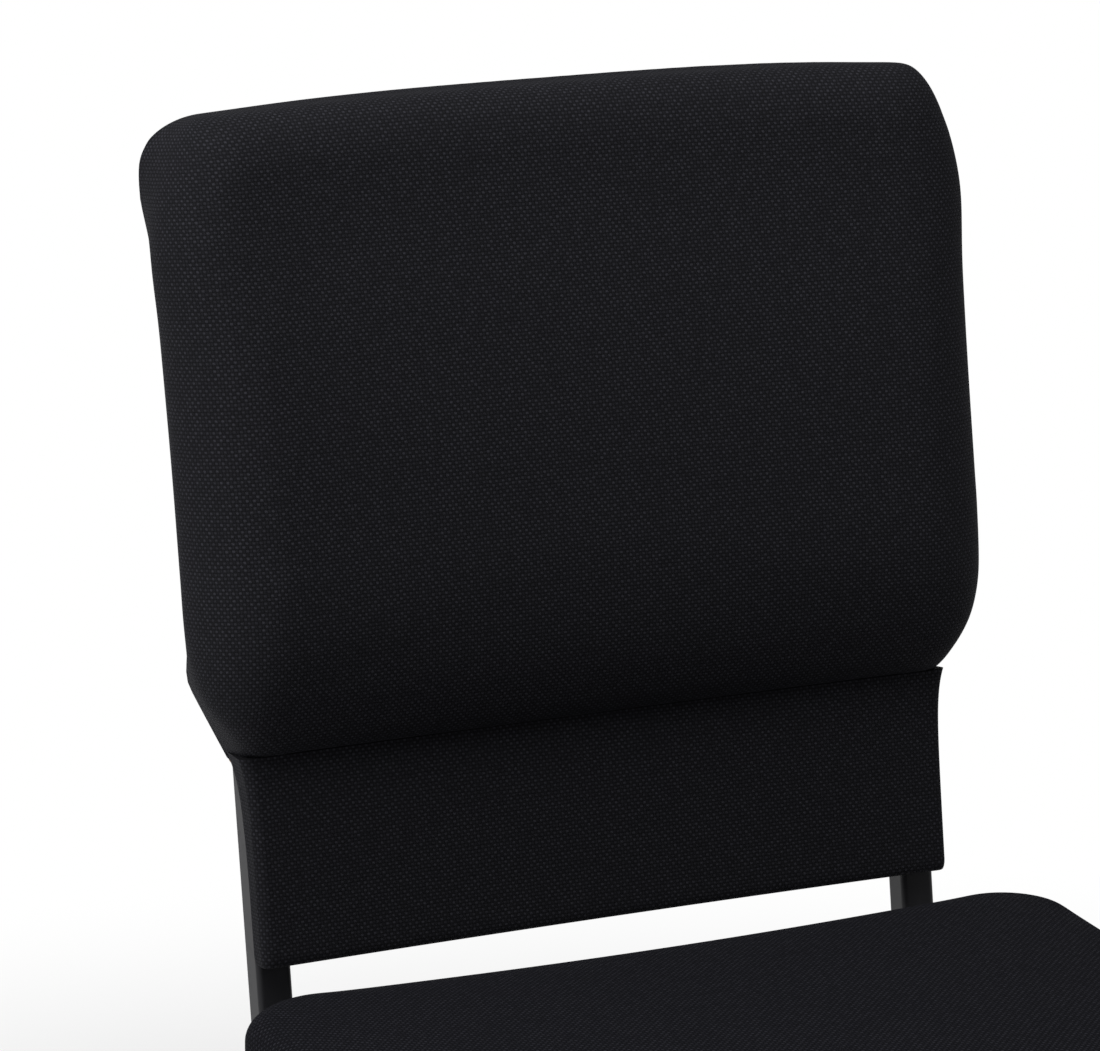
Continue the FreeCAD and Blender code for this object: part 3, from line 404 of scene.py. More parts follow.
def dress(piece, material, slot, *replaced):
    """Gives a piece its material and body, and hides the CAD nodes that it stands for. The slot
    argument is not used.
    """
    piece.data.materials.append(material)
    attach(piece, "root")
    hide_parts(*replaced)


def upholster(piece, material, *replaced):
    """Dresses a padded piece in fabric."""
    dress(piece, material, "upholstery", *replaced)


# shader expressions

KEEP_POSITIVE = 1000.0  # cells added so that no place on the cloth is negative


class Field:
    """A number that changes over a surface. Sums, differences and products add Math nodes."""

    def __init__(self, recipe, socket):
        self.recipe, self.socket = recipe, socket

    def _with(self, operation, first, second=0.0):
        return self.recipe.node("ShaderNodeMath", {"operation": operation}, {0: first, 1: second})

    def __add__(self, other):
        return self._with("ADD", self, other)

    __radd__ = __add__

    def __sub__(self, other):
        return self._with("SUBTRACT", self, other)

    def __rsub__(self, other):
        return self._with("SUBTRACT", other, self)

    def __mul__(self, other):
        return self._with("MULTIPLY", self, other)

    __rmul__ = __mul__

    def __truediv__(self, other):
        return self._with("DIVIDE", self, other)

    def floor(self):
        return self._with("FLOOR", self)

    def fraction(self):
        return self._with("FRACT", self)

    def modulo(self, other):
        return self._with("FLOORED_MODULO", self, other)

    def power(self, other):
        return self._with("POWER", self, other)


class Recipe:
    """The node tree of a material or world, with one method that adds any node."""

    def __init__(self, owner):
        if isinstance(owner, str):
            owner = bpy.data.materials.new(owner)
        self.owner = owner
        owner.use_nodes = True
        self.tree = owner.node_tree
        self.tree.nodes.clear()

    def node(self, kind, settings=None, sockets=None, out=0):
        made = self.tree.nodes.new(kind)
        for key, value in (settings or {}).items():
            setattr(made, key, value)
        for key, value in (sockets or {}).items():
            if isinstance(value, Field):
                self.tree.links.new(value.socket, made.inputs[key])
            else:
                made.inputs[key].default_value = value
        return None if out is None else Field(self, made.outputs[out])

    def mix(self, factor, first, second):
        """Colour between two fixed colours."""
        return self.node("ShaderNodeMix", {"data_type": "RGBA"},
                         {0: factor, 6: (*first, 1.0), 7: (*second, 1.0)}, out=2)

    def place(self):
        """Place in the piece's own coordinates."""
        return self.node("ShaderNodeTexCoord", out=3)

    def laid(self):
        """Place on the cloth."""
        return self.node("ShaderNodeUVMap", {"uv_map": "cloth"})

    def split(self, vector):
        """The three parts of a vector."""
        first = self.node("ShaderNodeSeparateXYZ", {}, {0: vector})
        return [Field(self, part) for part in first.socket.node.outputs]

    def ranged(self, value, low, high, start=0.0, end=1.0, curve="LINEAR"):
        """The value's place between low and high, as a place between start and end."""
        return self.node("ShaderNodeMapRange", {"interpolation_type": curve},
                         {0: value, 1: low, 2: high, 3: start, 4: end})

    def noise(self, place, scale, detail=3.0, roughness=0.55, distortion=0.0):
        return self.node("ShaderNodeTexNoise", {},
                         {"Vector": place, "Scale": scale, "Detail": detail,
                          "Roughness": roughness, "Distortion": distortion})

    def bump(self, height, strength, distance):
        return self.node("ShaderNodeBump", {},
                         {"Height": height, "Strength": strength, "Distance": distance})

    def finish(self, **sockets):
        named = {key.replace("_", " "): value for key, value in sockets.items()}
        return self.surface(self.node("ShaderNodeBsdfPrincipled", {}, named))

    def surface(self, shader, kind="ShaderNodeOutputMaterial"):
        self.node(kind, {}, {"Surface": shader}, out=None)
        return self.owner


def scaled(shade, factor):
    return tuple(min(1.0, part * factor) for part in shade)


def woven(name, painted_shade_factor=1.0, shine=0.07):
    """Plain weave of dark yarns: warp and weft pass over each other cell by cell. The yarn crowns
    carry a painted highlight and the hollows between them painted shade.
    """
    c = colours()
    recipe = Recipe(name)
    laid = recipe.laid()
    drift = recipe.noise(laid, 90.0, 2.0)
    x, y, _ = recipe.split(laid)
    across = x / sizes().warp + drift * 0.5 + KEEP_POSITIVE
    along = y / sizes().weft + drift * 0.4 + KEEP_POSITIVE
    over = (across.floor() + along.floor()).modulo(2.0)
    side = across.fraction() - 0.5
    reach = along.fraction() - 0.5
    round_warp = 1.0 - side * side * 4.0
    round_weft = 1.0 - reach * reach * 4.0
    warp = round_warp * (0.45 + round_weft * 0.55)
    weft = round_weft * (0.45 + round_warp * 0.55)
    lay = 1.0 - side * reach * 1.2
    height = (over * weft + (1.0 - over) * warp * 0.8) * lay
    cell = recipe.node("ShaderNodeCombineXYZ", {}, {0: across.floor(), 1: along.floor(), 2: 0.0})
    chance = recipe.node("ShaderNodeTexWhiteNoise", {"noise_dimensions": "2D"}, {"Vector": cell})
    fuzz = recipe.noise(laid, 2600.0, 2.0)
    patch = recipe.noise(laid, 14.0, 3.0)
    # Painted light: each yarn's colour runs from the hollows' painted shade to the crown's
    # painted highlight as it rises; weft crowns are lighter than warp ones.
    crown = (over * 0.6 + 0.36) * height.power(1.5) * (0.55 + chance * 0.6) * (0.6 + fuzz * 0.8)
    # The factor darkens a copy of the same cloth as painted shade; 1.0 leaves it as it is.
    painted_light_tone = crown * (0.86 + patch * 0.28) * painted_shade_factor
    shade = recipe.mix(painted_light_tone, c.yarn_shaded_hollow, c.yarn_lit_crown)
    normal = recipe.bump(height + fuzz * 0.35, 0.55, 0.35 * MM)
    return recipe.finish(Base_Color=shade, Roughness=0.86 - height * 0.08, Normal=normal,
                         Specular_IOR_Level=shine, Sheen_Weight=0.008,
                         Sheen_Roughness=0.5, Sheen_Tint=(0.75, 0.78, 0.95, 1.0))


def coated():
    """Satin black powder coat, with its fine orange peel and a few rubbed spots."""
    recipe = Recipe("powder_coat")
    place = recipe.place()
    peel = recipe.noise(place, 900.0, 2.0)
    cloud = recipe.noise(place, 9.0, 3.0)
    rubbed = recipe.noise(place, 60.0, 6.0, 0.7)
    dull = recipe.ranged(rubbed, 0.55, 0.75)
    coat = colours().coat
    shade = recipe.mix(dull * 0.5 + cloud * 0.12, coat, scaled(coat, 1.9))
    normal = recipe.bump(peel, 0.10, 0.15 * MM)
    return recipe.finish(Base_Color=shade, Roughness=0.4 + cloud * 0.08 + dull * 0.12,
                         Normal=normal, Specular_IOR_Level=0.18)


def ply(name, turn):
    """Plywood: long grain on its faces, light and dark plies on its edges."""
    recipe = Recipe(name)
    c = colours()
    place = recipe.place()
    levelled = recipe.node("ShaderNodeMapping", {}, {"Vector": place, "Rotation": turn})
    plies = (recipe.split(levelled)[2] / (3.0 * MM)).fraction()
    dark_ply = recipe.node("ShaderNodeMath", {"operation": "GREATER_THAN"}, {0: plies, 1: 0.5})
    stretched = recipe.node("ShaderNodeMapping", {},
                            {"Vector": levelled, "Scale": (14.0, 240.0, 240.0)})
    grain = recipe.noise(stretched, 1.0, 5.0, 0.65, 0.6)
    pores = recipe.noise(stretched, 5.0, 2.0)
    shade = recipe.mix(grain * 0.75 + dark_ply * 0.22, c.veneer, c.veneer_dark)
    normal = recipe.bump(grain + pores * 0.5, 0.25, 0.2 * MM)
    return recipe.finish(Base_Color=shade, Roughness=0.62 + pores * 0.15, Normal=normal)


def pressed():
    """Hardboard: brown pressed fibre."""
    recipe = Recipe("hardboard")
    place = recipe.place()
    fibre = recipe.noise(place, 700.0, 6.0, 0.75, 1.2)
    cloud = recipe.noise(place, 30.0, 3.0)
    brown = colours().hardboard
    shade = recipe.mix(fibre * 0.7 + cloud * 0.3, brown, scaled(brown, 1.8))
    return recipe.finish(Base_Color=shade, Roughness=0.6 + fibre * 0.2,
                         Normal=recipe.bump(fibre, 0.3, 0.15 * MM))


def moulded():
    """Black moulded nylon with a fine spark texture and scuffs."""
    recipe = Recipe("nylon")
    place = recipe.place()
    spark = recipe.noise(place, 2200.0, 2.0)
    scuff = recipe.noise(place, 130.0, 5.0, 0.7)
    black = colours().nylon
    shade = recipe.mix(scuff.power(3.0) * 1.4, black, scaled(black, 2.6))
    return recipe.finish(Base_Color=shade, Roughness=0.45 + scuff * 0.2,
                         Normal=recipe.bump(spark, 0.12, 0.1 * MM))


def plated():
    """Bright zinc plating, slightly clouded."""
    recipe = Recipe("zinc")
    place = recipe.place()
    cloud = recipe.noise(place, 160.0, 4.0)
    fine = recipe.noise(place, 1500.0, 2.0)
    bright = colours().zinc
    shade = recipe.mix(cloud, scaled(bright, 0.62), bright)
    return recipe.finish(Base_Color=shade, Metallic=1.0, Roughness=0.28 + cloud * 0.22,
                         Normal=recipe.bump(fine, 0.05, 0.1 * MM))


def lining_cloth():
    """Black spun-bonded cloth, point-bonded in a fine diamond grid."""
    recipe = Recipe("dust_cloth")
    laid = recipe.laid()
    x, y, _ = recipe.split(laid)
    grid = 2.2 * MM
    a = ((x + y) / grid + KEEP_POSITIVE).fraction() - 0.5
    b = ((x - y) / grid + KEEP_POSITIVE).fraction() - 0.5
    bond = recipe.ranged(a * a + b * b, 0.02, 0.06, 1.0, 0.0)
    fibre = recipe.noise(laid, 1400.0, 5.0, 0.7, 1.5)
    black = colours().lining
    shade = recipe.mix(fibre * 0.8 + bond * -0.3, black, scaled(black, 1.8))
    return recipe.finish(Base_Color=shade, Roughness=0.8 - bond * 0.2,
                         Normal=recipe.bump(fibre - bond, 0.4, 0.15 * MM))


def repaint(material, *nodes):
    """Gives CAD nodes a finish through their objects' material slots."""
    for name in nodes:
        node = NODES[name]
        if not node.material_slots:
            node.data.materials.append(material)
        for slot in node.material_slots:
            slot.material = material


# back cushion

def rear_side(level):
    """Half width of the back's rear edge: slanted shoulders, and sides that widen upwards."""
    s = sizes()
    slant = (level - s.rear_foot) / (s.rear_shoulder - s.rear_foot)
    rise = (level - s.rear_shoulder) / (s.back_top - s.rear_shoulder)
    low = s.frame_half + (s.rear_low + s.shoulder_ear - s.frame_half) * slant
    high = s.rear_low + (s.rear_high - s.rear_low) * rise
    high += s.shoulder_ear * math.exp(-((level - s.rear_shoulder) / s.shoulder_reach) ** 2)
    half = (low + high - math.hypot(low - high, SHOULDER_BLEND)) / 2
    return half + s.ear * math.exp(-((level - s.ear_level) / s.ear_reach) ** 2)


def rear_half(level):
    """Half width of the cushion's rear edge, with its round top corners."""
    s = sizes()
    half = rear_side(level)
    into = (level - (s.back_top - s.rear_corner)) / s.rear_corner
    if into > 0:
        half -= s.rear_corner_width * (1 - math.sqrt(max(1 - into ** 2, 0)))
    return half


def shoulder_taper(level):
    """How far the cushion's front draws in towards its top, after filling out a little."""
    s = sizes()
    fill = s.shoulder_fill * math.exp(-((level - s.taper_start) / s.fill_reach) ** 2)
    into = max(0.0, (level - s.taper_start) / (s.back_top - s.taper_start))
    return s.top_taper * into ** 2.6 - fill


def cushion_rows():
    """Level, rear half, front half, depth, bolster radius and hollow, from the seam up."""
    s = sizes()
    # rise over the seam, how far side and front lie inside, share of the bolster's radius
    foot_table = ((0, 24.3, 36, 0.3), (4, 22.5, 28, 0.4), (10, 18.3, 22, 0.55),
                  (20, 11.6, 15.5, 0.7), (32, 5.6, 9.5, 0.85), (50, 1.2, 4, 0.95), (70, 0, 1, 1),
                  (92, 0, 0, 1))
    # share of the way to the round corners, side, share of the change in depth
    upper_table = ((0, 0, 0), (0.33, 0.5, 0.15), (0.6, 0, 0.45), (0.82, -0.5, 0.8), (1, 0, 1))
    roundest = 0.8  # largest bolster radius as a share of the depth
    least = 0.3  # share of the hollow that is left at the seam and at the top
    stop = s.back_top - s.back_corner
    start = s.seam + foot_table[-1][0] * MM
    rows = []
    for rise in (0, 1.5, 3, 5, 7.5, 10, 13, 16, 20, 24, 28, 33, 38, 44, 50, 56, 63, 70, 77, 85):
        narrow, shallow, share = eased(foot_table, rise)
        level = s.seam + rise * MM
        depth = s.lumbar - shallow * MM
        rows.append((level, rear_half(level), s.back_half - narrow * MM + s.bolster_room * share,
                     depth, depth * roundest * share,
                     s.hollow * (least + (1 - least) * (1 - shallow / foot_table[0][2]))))
    steps = 30
    for k in range(steps + 1):
        share = k / steps
        narrow, thin = eased(upper_table, share)
        level = start + (stop - start) * share
        depth = s.lumbar - (s.lumbar - s.upper) * thin
        front = s.back_half - narrow * MM - shoulder_taper(level) + s.bolster_room
        rows.append((level, rear_half(level), front, depth,
                     min(s.bolster, depth * roundest), s.hollow))
    for turn in (8, 15, 22, 29, 35, 39.8, 43, 49, 55, 61, 67, 73, 79, 84.5, 90):
        angle = math.radians(turn)
        full = math.cos(angle)
        level = stop + s.back_corner * math.sin(angle)
        depth = s.top_edge + (s.upper - s.top_edge) * full ** 0.6
        rear = rear_half(level)
        front = s.back_half - shoulder_taper(level) + s.bolster_room * full
        limit = rear + s.corner_room
        front = (front + limit - math.hypot(front - limit, CORNER_BLEND)) / 2
        rows.append((level, rear, front, depth,
                     min(s.bolster, depth * roundest) * (0.25 + 0.75 * full),
                     s.hollow * (least + (1 - least) * full)))
    return rows


def cushion_front(rear, front, depth, radius, hollow, count):
    """Level section of the cushion's skin from its left rear round the front to its right, and
    how far each point lies along it from the middle."""
    s = sizes()
    line = -(depth - radius)
    flat = front - radius
    left = run((-rear, s.tube), (-front, line)) + arc((-flat, line), radius, 180, 270)
    middle = [(x, -depth + hollow * (1 - (x / flat) ** 2)) for x in inner_places(flat, 60)]
    spots = softened(spread(left + middle + mirrored(left), count - 2), 6)
    corner = s.tube - s.gap * 3
    spots = [spots[0], (-rear, corner)] + spots[1:-1] + [(rear, corner), spots[-1]]
    travelled = distances(spots)
    return spots, [place - travelled[-1] / 2 for place in travelled]


def board_line(x):
    """Place of the back board's rear face: an arc that touches the cover on the uprights."""
    s = sizes()
    radius = (s.frame_half ** 2 + s.board_hollow ** 2) / (2 * s.board_hollow)
    inner = s.frame_half - s.tube + 3 * MM
    return -s.cover + (inner ** 2 - x ** 2) / (2 * radius)


def pocket_line(level, rear, count):
    """Section of the room behind the cushion for the board and the uprights, right to left."""
    s = sizes()
    corner = rear - 3 * s.gap
    half = min(s.frame_half + s.gap, corner - 3 * s.gap)
    count -= 2
    if level <= s.board_top + 2 * s.gap:
        front = board_line(half) - s.board - s.gap
        wall_steps = 8
        spots = run((half, s.tube), (half, front), wall_steps)[:-1]
        inner = count - 2 * wall_steps
        across = [half - 2 * half * k / (inner - 1) for k in range(inner)]
        spots += [(x, board_line(x) - s.board - s.gap) for x in across]
        spots += mirrored(spots[:wall_steps])
    else:
        spots = [(half - 2 * half * k / (count - 1), s.tube) for k in range(count)]
    return [(corner, s.tube)] + spots + [(-corner, s.tube)]


class CHAIR_OT_back_cushion(Operator):
    """Back cushion: deep at the small of the back, hollow across, round at its top corners"""
    bl_idname = "chair.back_cushion"
    bl_label = "Back cushion"

    def execute(self, context):
        s = sizes()
        front_count, pocket_count = 124, 60
        rings, climbed, before = [], 0.0, None
        rows = cushion_rows()
        for row in rows:
            level = row[0]
            front, along = cushion_front(*row[1:], front_count)
            middle = (*front[front_count // 2], level)
            climbed += math.dist(middle, before or middle)
            before = middle
            pocket = pocket_line(level, row[1], pocket_count)
            flats = [(place, climbed) for place in along + [x for x, _ in pocket]]
            places = [(x, n, arched(x, level)) for x, n in front]
            places += [(x, n, pocket_arched(x, level)) for x, n in pocket]
            rings.append([(on_back(*place), flat) for place, flat in zip(places, flats)])
        # rounded top edge
        middle_depth = (s.tube - s.top_edge) / 2
        end = max(x for x, _ in front)
        roll = 13 * MM  # the cloth's way over the edge
        for shrink, rise in ((0.72, 0.9), (0.4, 1.5), (0.1, 1.7)):
            ring = []
            for (x, n), (place, _) in zip(front + pocket, flats):
                depth = middle_depth + (n - middle_depth) * shrink
                level = arched(x, s.back_top) + rise * MM * (1 - (abs(x) / end) ** 4)
                ring.append((on_back(x * (0.97 + 0.03 * shrink), depth, level),
                             (place, climbed + (1 - shrink) * roll)))
            rings.append(ring)
        piece = ring_piece("back_cushion", rings)
        ring_size = front_count + pocket_count
        held = [i * ring_size + j for i in range(len(rings)) for j in range(ring_size)
                if j < 2 or j > front_count - 3 or i < 2]
        levels = [row[0] for row in rows] + [s.back_top] * (len(rings) - len(rows))
        caps = [s.back_swell * min(max((s.swell_end - level) / s.swell_fade, 0.0), 1.0)
                for level in levels for _ in range(ring_size)]
        swell(piece, held, caps)
        refine(piece)
        upholster(piece, woven("upholstery"), "back_cover", "back_foam")
        return {"FINISHED"}


class CHAIR_OT_lower_panel(Operator):
    """Lower back panel: a thin pad in a sleeve of the same fabric"""
    bl_idname = "chair.lower_panel"
    bl_label = "Lower panel"

    def section(self, half, front, rear, corner, wrap):
        """Level section that follows the board, front and rear measured from its rear face. Its
        sides reach back along the uprights by the wrap."""
        s = sizes()
        flat, inner = half - corner, min(s.frame_half + s.gap, half)
        tip = min(inner + s.cover + 0.25 * (half - inner), half)
        behind, ahead = board_line(half) + rear, board_line(flat) + front
        left = run((-inner, behind), (-inner, behind + wrap), 5)
        left += run((-tip, behind + wrap), (-half, ahead + corner), 7)
        left += arc((-flat, ahead + corner), corner, 180, 270, 8)[1:]
        across = inner_places(flat, 96)
        middle = [(x, board_line(x) + front) for x in across]
        back = [(-x, board_line(x) + rear) for x in across]
        spots = left + middle + mirrored(left) + back
        travelled = distances(spots)
        centre = travelled[len(left) + len(middle) // 2]
        return spots, [place - centre for place in travelled]

    def execute(self, context):
        s = sizes()
        front = -(s.board + s.panel_pad + s.gap + s.cover)
        rear = s.cover
        rings = []
        inner_half = s.frame_half - 2 * MM + s.gap
        for level in (s.panel_bottom + s.cover - 0.1 * MM, s.seam - 2 * MM, s.seam - 0.1 * MM):
            spots, _ = self.section(inner_half, -s.board - s.gap, 0.1 * MM, 0.3 * MM, 0.0)
            rings.append([(on_back(x, n, level), (x, level)) for x, n in spots])
        edge = s.panel_corner
        levels = [(s.seam - drop * MM, 0.0)
                  for drop in (0.1, 0.8, 2, 3.5, 5, 7, 9, 11.5, 14, 17, 20, 23, 27, 32)]
        top = levels[-1][0]
        levels += [(top - (top - s.panel_bottom - edge) * k / 14, 0.0) for k in range(1, 15)]
        for turn in (20, 40, 60, 75, 90):
            angle = math.radians(turn)
            levels.append((s.panel_bottom + edge * (1 - math.sin(angle)), 1 - math.cos(angle)))
        for level, share in levels:
            fade = math.exp((level - s.seam) / s.flare_reach)
            flare = s.flare * fade
            spots, along = self.section(s.frame_half + s.gap + s.cover + flare - share * 1.5 * MM,
                                        front - 0.2 * flare + share * 3.5 * MM,
                                        rear - share * MM, edge * (1 - 0.4 * share),
                                        (s.tube - 0.5 * MM) * fade)
            rings.append([(on_back(x, n, level), (place, level))
                          for (x, n), place in zip(spots, along)])
        piece = ring_piece("lower_panel", rings)
        # The panel's cloth is the same fabric dimmed to 0.9, as painted shade.
        upholster(piece, woven("panel_fabric", 0.9), "panel_cover", "panel_pad")
        return {"FINISHED"}


# seat

def seat_ring(inset, front_inset, count, pull_share=1.0):
    """Level outline of the seat, from the left end of its rear edge round."""
    s = sizes()
    half = s.seat_half - inset
    rear = -s.seat_setback - inset
    front = -s.seat_setback - s.seat_depth + front_inset
    corner = s.seat_corner - 0.5 * min(inset, s.side_roll) + 0.4 * max(inset - s.side_roll, 0)
    corner = max(min(corner, 0.98 * half, 0.49 * (rear - front)), 0.5 * MM)
    room = min(1.0, half / (0.5 * s.seat_half))
    pull = s.seat_pull * pull_share * room
    flat = half - corner
    low, high = front + corner, rear - corner

    def bowed(start, end, reach):
        """Edge from start to end, its middle moved by reach."""
        steps = 24
        return [tuple(a + (b - a) * t + move * 4 * t * (1 - t)
                      for a, b, move in zip(start, end, reach))
                for t in (k / steps for k in range(1, steps))]

    right = arc((flat, high), corner, 90, 0)
    right += bowed((half, high), (half, low), (-pull / 3, 0)) + arc((flat, low), corner, 0, -90)
    path = bowed((-flat, rear), (flat, rear), (0, -pull)) + right
    path += bowed((flat, front), (-flat, front), (0, -pull)) + mirrored(right)
    return spread(path, count, closed=True)


class CHAIR_OT_seat_cushion(Operator):
    """Seat cushion: crowned foam with rolled edges, its fabric turned under the board"""
    bl_idname = "chair.seat_cushion"
    bl_label = "Seat cushion"

    def execute(self, context):
        s = sizes()
        count = 240
        top, side, front = s.seat_height, s.side_roll, s.front_roll
        room = s.board_inset - 0.5 * MM
        inner = s.seat_undercut + s.hem
        # height, inset all round, inset at the front, share of the edges' pull
        levels = [(height, inset, inset, pull) for height, inset, pull in
                  ((s.seat_board + 0.3 * MM, room, 0.0), (0.2 * MM, room, 0.0),
                   (-0.05 * MM, room + 2 * MM, 0.2), (-0.1 * MM, inner, 1.0),
                   (-MM, inner, 1.0), (-MM, inner - 6 * MM, 1.0), (-MM, 12 * MM, 1.0))]
        levels += [(height * MM, inset * MM, ahead * MM, 1.0) for height, inset, ahead in
                   ((-0.8, 7.5, 7.5), (0.4, 6.2, 6.2), (3, 5.2, 5.2), (9, 3, 3), (19, 1.1, 1.1),
                    (30, 0.2, 0.2), (42, 0, 1))]
        for turn in (0, 10, 20, 30, 40, 50, 60, 68, 75, 81):
            bend = math.radians(turn)
            levels.append((top - side * (1 - math.sin(bend)), side * (1 - math.cos(bend)),
                           front * (1.08 - math.cos(bend)), 1.0))
        crown = ((0.0, 0, 1.0, 0.97), (10, 0.12, 1.25, 1.2), (25.6, 0.25, 1.6, 1.6),
                 (54, 0.6, 3.4, 2.6), (84, 0.84, 5.2, 3.45), (112, 1.0, 7.0, 4.1),
                 (150, 1.1, 9.4, 4.7), (190, 1.15, 11.9, 5.1), (226, 1.17, 14.1, 5.35))
        for place in (10, 18, 26, 38, 54, 70, 88, 112, 140, 170, 200, 226):
            rise, across, along = eased(crown, place)
            levels.append((top + s.crown * rise, side * across, front * along, 1.0))
        plan = [[Vector((x, y, height)) for x, y in seat_ring(inset, ahead, count, pull)]
                for height, inset, ahead, pull in levels]
        # how much longer the cloth's way to each ring is than its level distance
        slack = [0.0] * len(plan)
        for i in range(len(plan) - 2, -1, -1):
            step = sum((plan[i][j] - plan[i + 1][j]).length for j in range(0, count, 8))
            level = sum((plan[i][j] - plan[i + 1][j]).to_2d().length for j in range(0, count, 8))
            slack[i] = slack[i + 1] + (step - level) / len(range(0, count, 8))
        rings = []
        for spots, extra in zip(plan, slack):
            ring = []
            for j, spot in enumerate(spots):
                along = (spots[(j + 1) % count] - spots[j - 1]).to_2d()
                outward = Vector((-along.y, along.x)).normalized()
                flat = spot.to_2d() + outward * extra
                ring.append((on_seat(*spot), (flat.x, flat.y)))
            rings.append(ring)
        piece = ring_piece("seat_cushion", rings)
        under_board = 10
        swell(piece, list(range(under_board * count)), [s.seat_swell] * len(piece.data.vertices))
        refine(piece)
        # The seat's cloth is the same fabric dimmed to 0.8, as painted shade.
        upholster(piece, woven("seat_fabric", 0.8, 0.01), "seat_cover", "seat_foam")
        return {"FINISHED"}


class CHAIR_OT_dust_cover(Operator):
    """Dust cloth stretched under the seat board"""
    bl_idname = "chair.dust_cover"
    bl_label = "Dust cloth"

    def execute(self, context):
        s = sizes()
        edge = s.seat_undercut + s.hem + s.cover
        count = 160
        thickness = 0.5 * MM
        rings = []
        for inset in (0, 8, 40, 90, 150, 190):
            ring = seat_ring(edge + inset * MM, edge + inset * MM, count)
            rings.append([(on_seat(x, y, -thickness), (x, y)) for x, y in ring])
        piece = ring_piece("dust_cover", rings, first_cap=False)
        wall = piece.modifiers.new("Wall", "SOLIDIFY")
        wall.thickness = thickness
        wall.offset = 0
        apply_modifier(piece, wall)
        dress(piece, lining_cloth(), "dust_cloth", "seat_dust_cover")
        return {"FINISHED"}


class CHAIR_OT_rear_cover(Operator):
    """Fabric pulled round the flat panel that closes the back behind the uprights"""
    bl_idname = "chair.rear_cover"
    bl_label = "Rear cover"

    def outline(self, inset, count):
        """Outline of the covered panel, from the middle of its foot round."""
        s = sizes()
        top = s.back_top - s.rear_drop
        bend = top - s.rear_round
        right = run((0, s.rear_foot), (s.frame_half, s.rear_foot), 20)
        right += [(rear_side(level), level) for level in
                  (s.rear_foot + (bend - s.rear_foot) * k / 60 for k in range(1, 61))]
        reach = rear_side(bend) - s.rear_flat
        for turn in range(5, 90, 5):
            angle = math.radians(turn)
            right.append((s.rear_flat + reach * math.cos(angle),
                          bend + s.rear_round * math.sin(angle)))
        right += run((s.rear_flat, top), (0, top), 20)
        spots = spread(right + mirrored(right[1:-1]), count, closed=True)
        inset += s.rear_inset
        moved = []
        for j, (x, y) in enumerate(spots):
            before, after = spots[j - 1], spots[(j + 1) % count]
            along = Vector((after[0] - before[0], after[1] - before[1])).normalized()
            moved.append((x - along.y * inset, y + along.x * inset))
        return moved

    def execute(self, context):
        s = sizes()
        count = 260
        front, back = s.tube, s.tube + 5 * MM
        # inset and place behind the front and the back of the covered panel
        levels = [(inset * MM, front + behind * MM) for inset, behind in
                  ((0.2, -0.35), (0.0, 0.2), (-0.2, 1.2), (-0.2, 2.4))]
        levels += [(inset * MM, back + behind * MM) for inset, behind in
                   ((0.3, -1.2), (1.2, -0.4), (2.6, 0), (5, 0.2), (9, 0.3))]
        rings = []
        for turned in (0.1 * MM, 0.35 * MM):
            flap = []
            for x, y in self.outline(0.0, count):
                room = max(abs(x) - s.frame_half - s.gap, 0.0)
                flap.append((x - math.copysign(min(s.flap, room), x), y))
            rings.append([(on_back(x, front - turned, y), (x, y)) for x, y in flap])
        for inset, behind in levels:
            rings.append([(on_back(x, behind, y), (x, y)) for x, y in self.outline(inset, count)])
        piece = ring_piece("rear_cover", rings)
        upholster(piece, woven("rear_fabric"), "rear_panel_cover")
        return {"FINISHED"}


class CHAIR_OT_frame_finish(Operator):
    """Black powder coat on the frame"""
    bl_idname = "chair.frame_finish"
    bl_label = "Frame finish"

    def execute(self, context):
        repaint(coated(), "left_upright", "right_upright", "left_front_leg", "right_front_leg",
                "front_cross_rail", "rear_cross_rail", "upper_back_brace", "lower_back_brace")
        return {"FINISHED"}


class CHAIR_OT_board_finish(Operator):
    """Plywood and hardboard of the hidden boards"""
    bl_idname = "chair.board_finish"
    bl_label = "Boards"

    def execute(self, context):
        s = sizes()
        repaint(ply("seat_plywood", (s.pitch, 0.0, 0.0)), "seat_board")
        repaint(ply("back_plywood", (s.recline - math.pi / 2, 0.0, 0.0)), "back_board")
        repaint(pressed(), "rear_panel")
        return {"FINISHED"}


class CHAIR_OT_fittings_finish(Operator):
    """Nylon glides, bumpers and clips, and zinc screws and nuts"""
    bl_idname = "chair.fittings_finish"
    bl_label = "Fittings"

    def execute(self, context):
        repaint(moulded(), "front_left_glide", "front_right_glide", "rear_left_glide",
                "rear_right_glide", "stack_bumpers", "panel_clips")
        repaint(plated(), "seat_screws", "seat_tee_nuts", "back_screws", "back_tee_nuts")
        return {"FINISHED"}


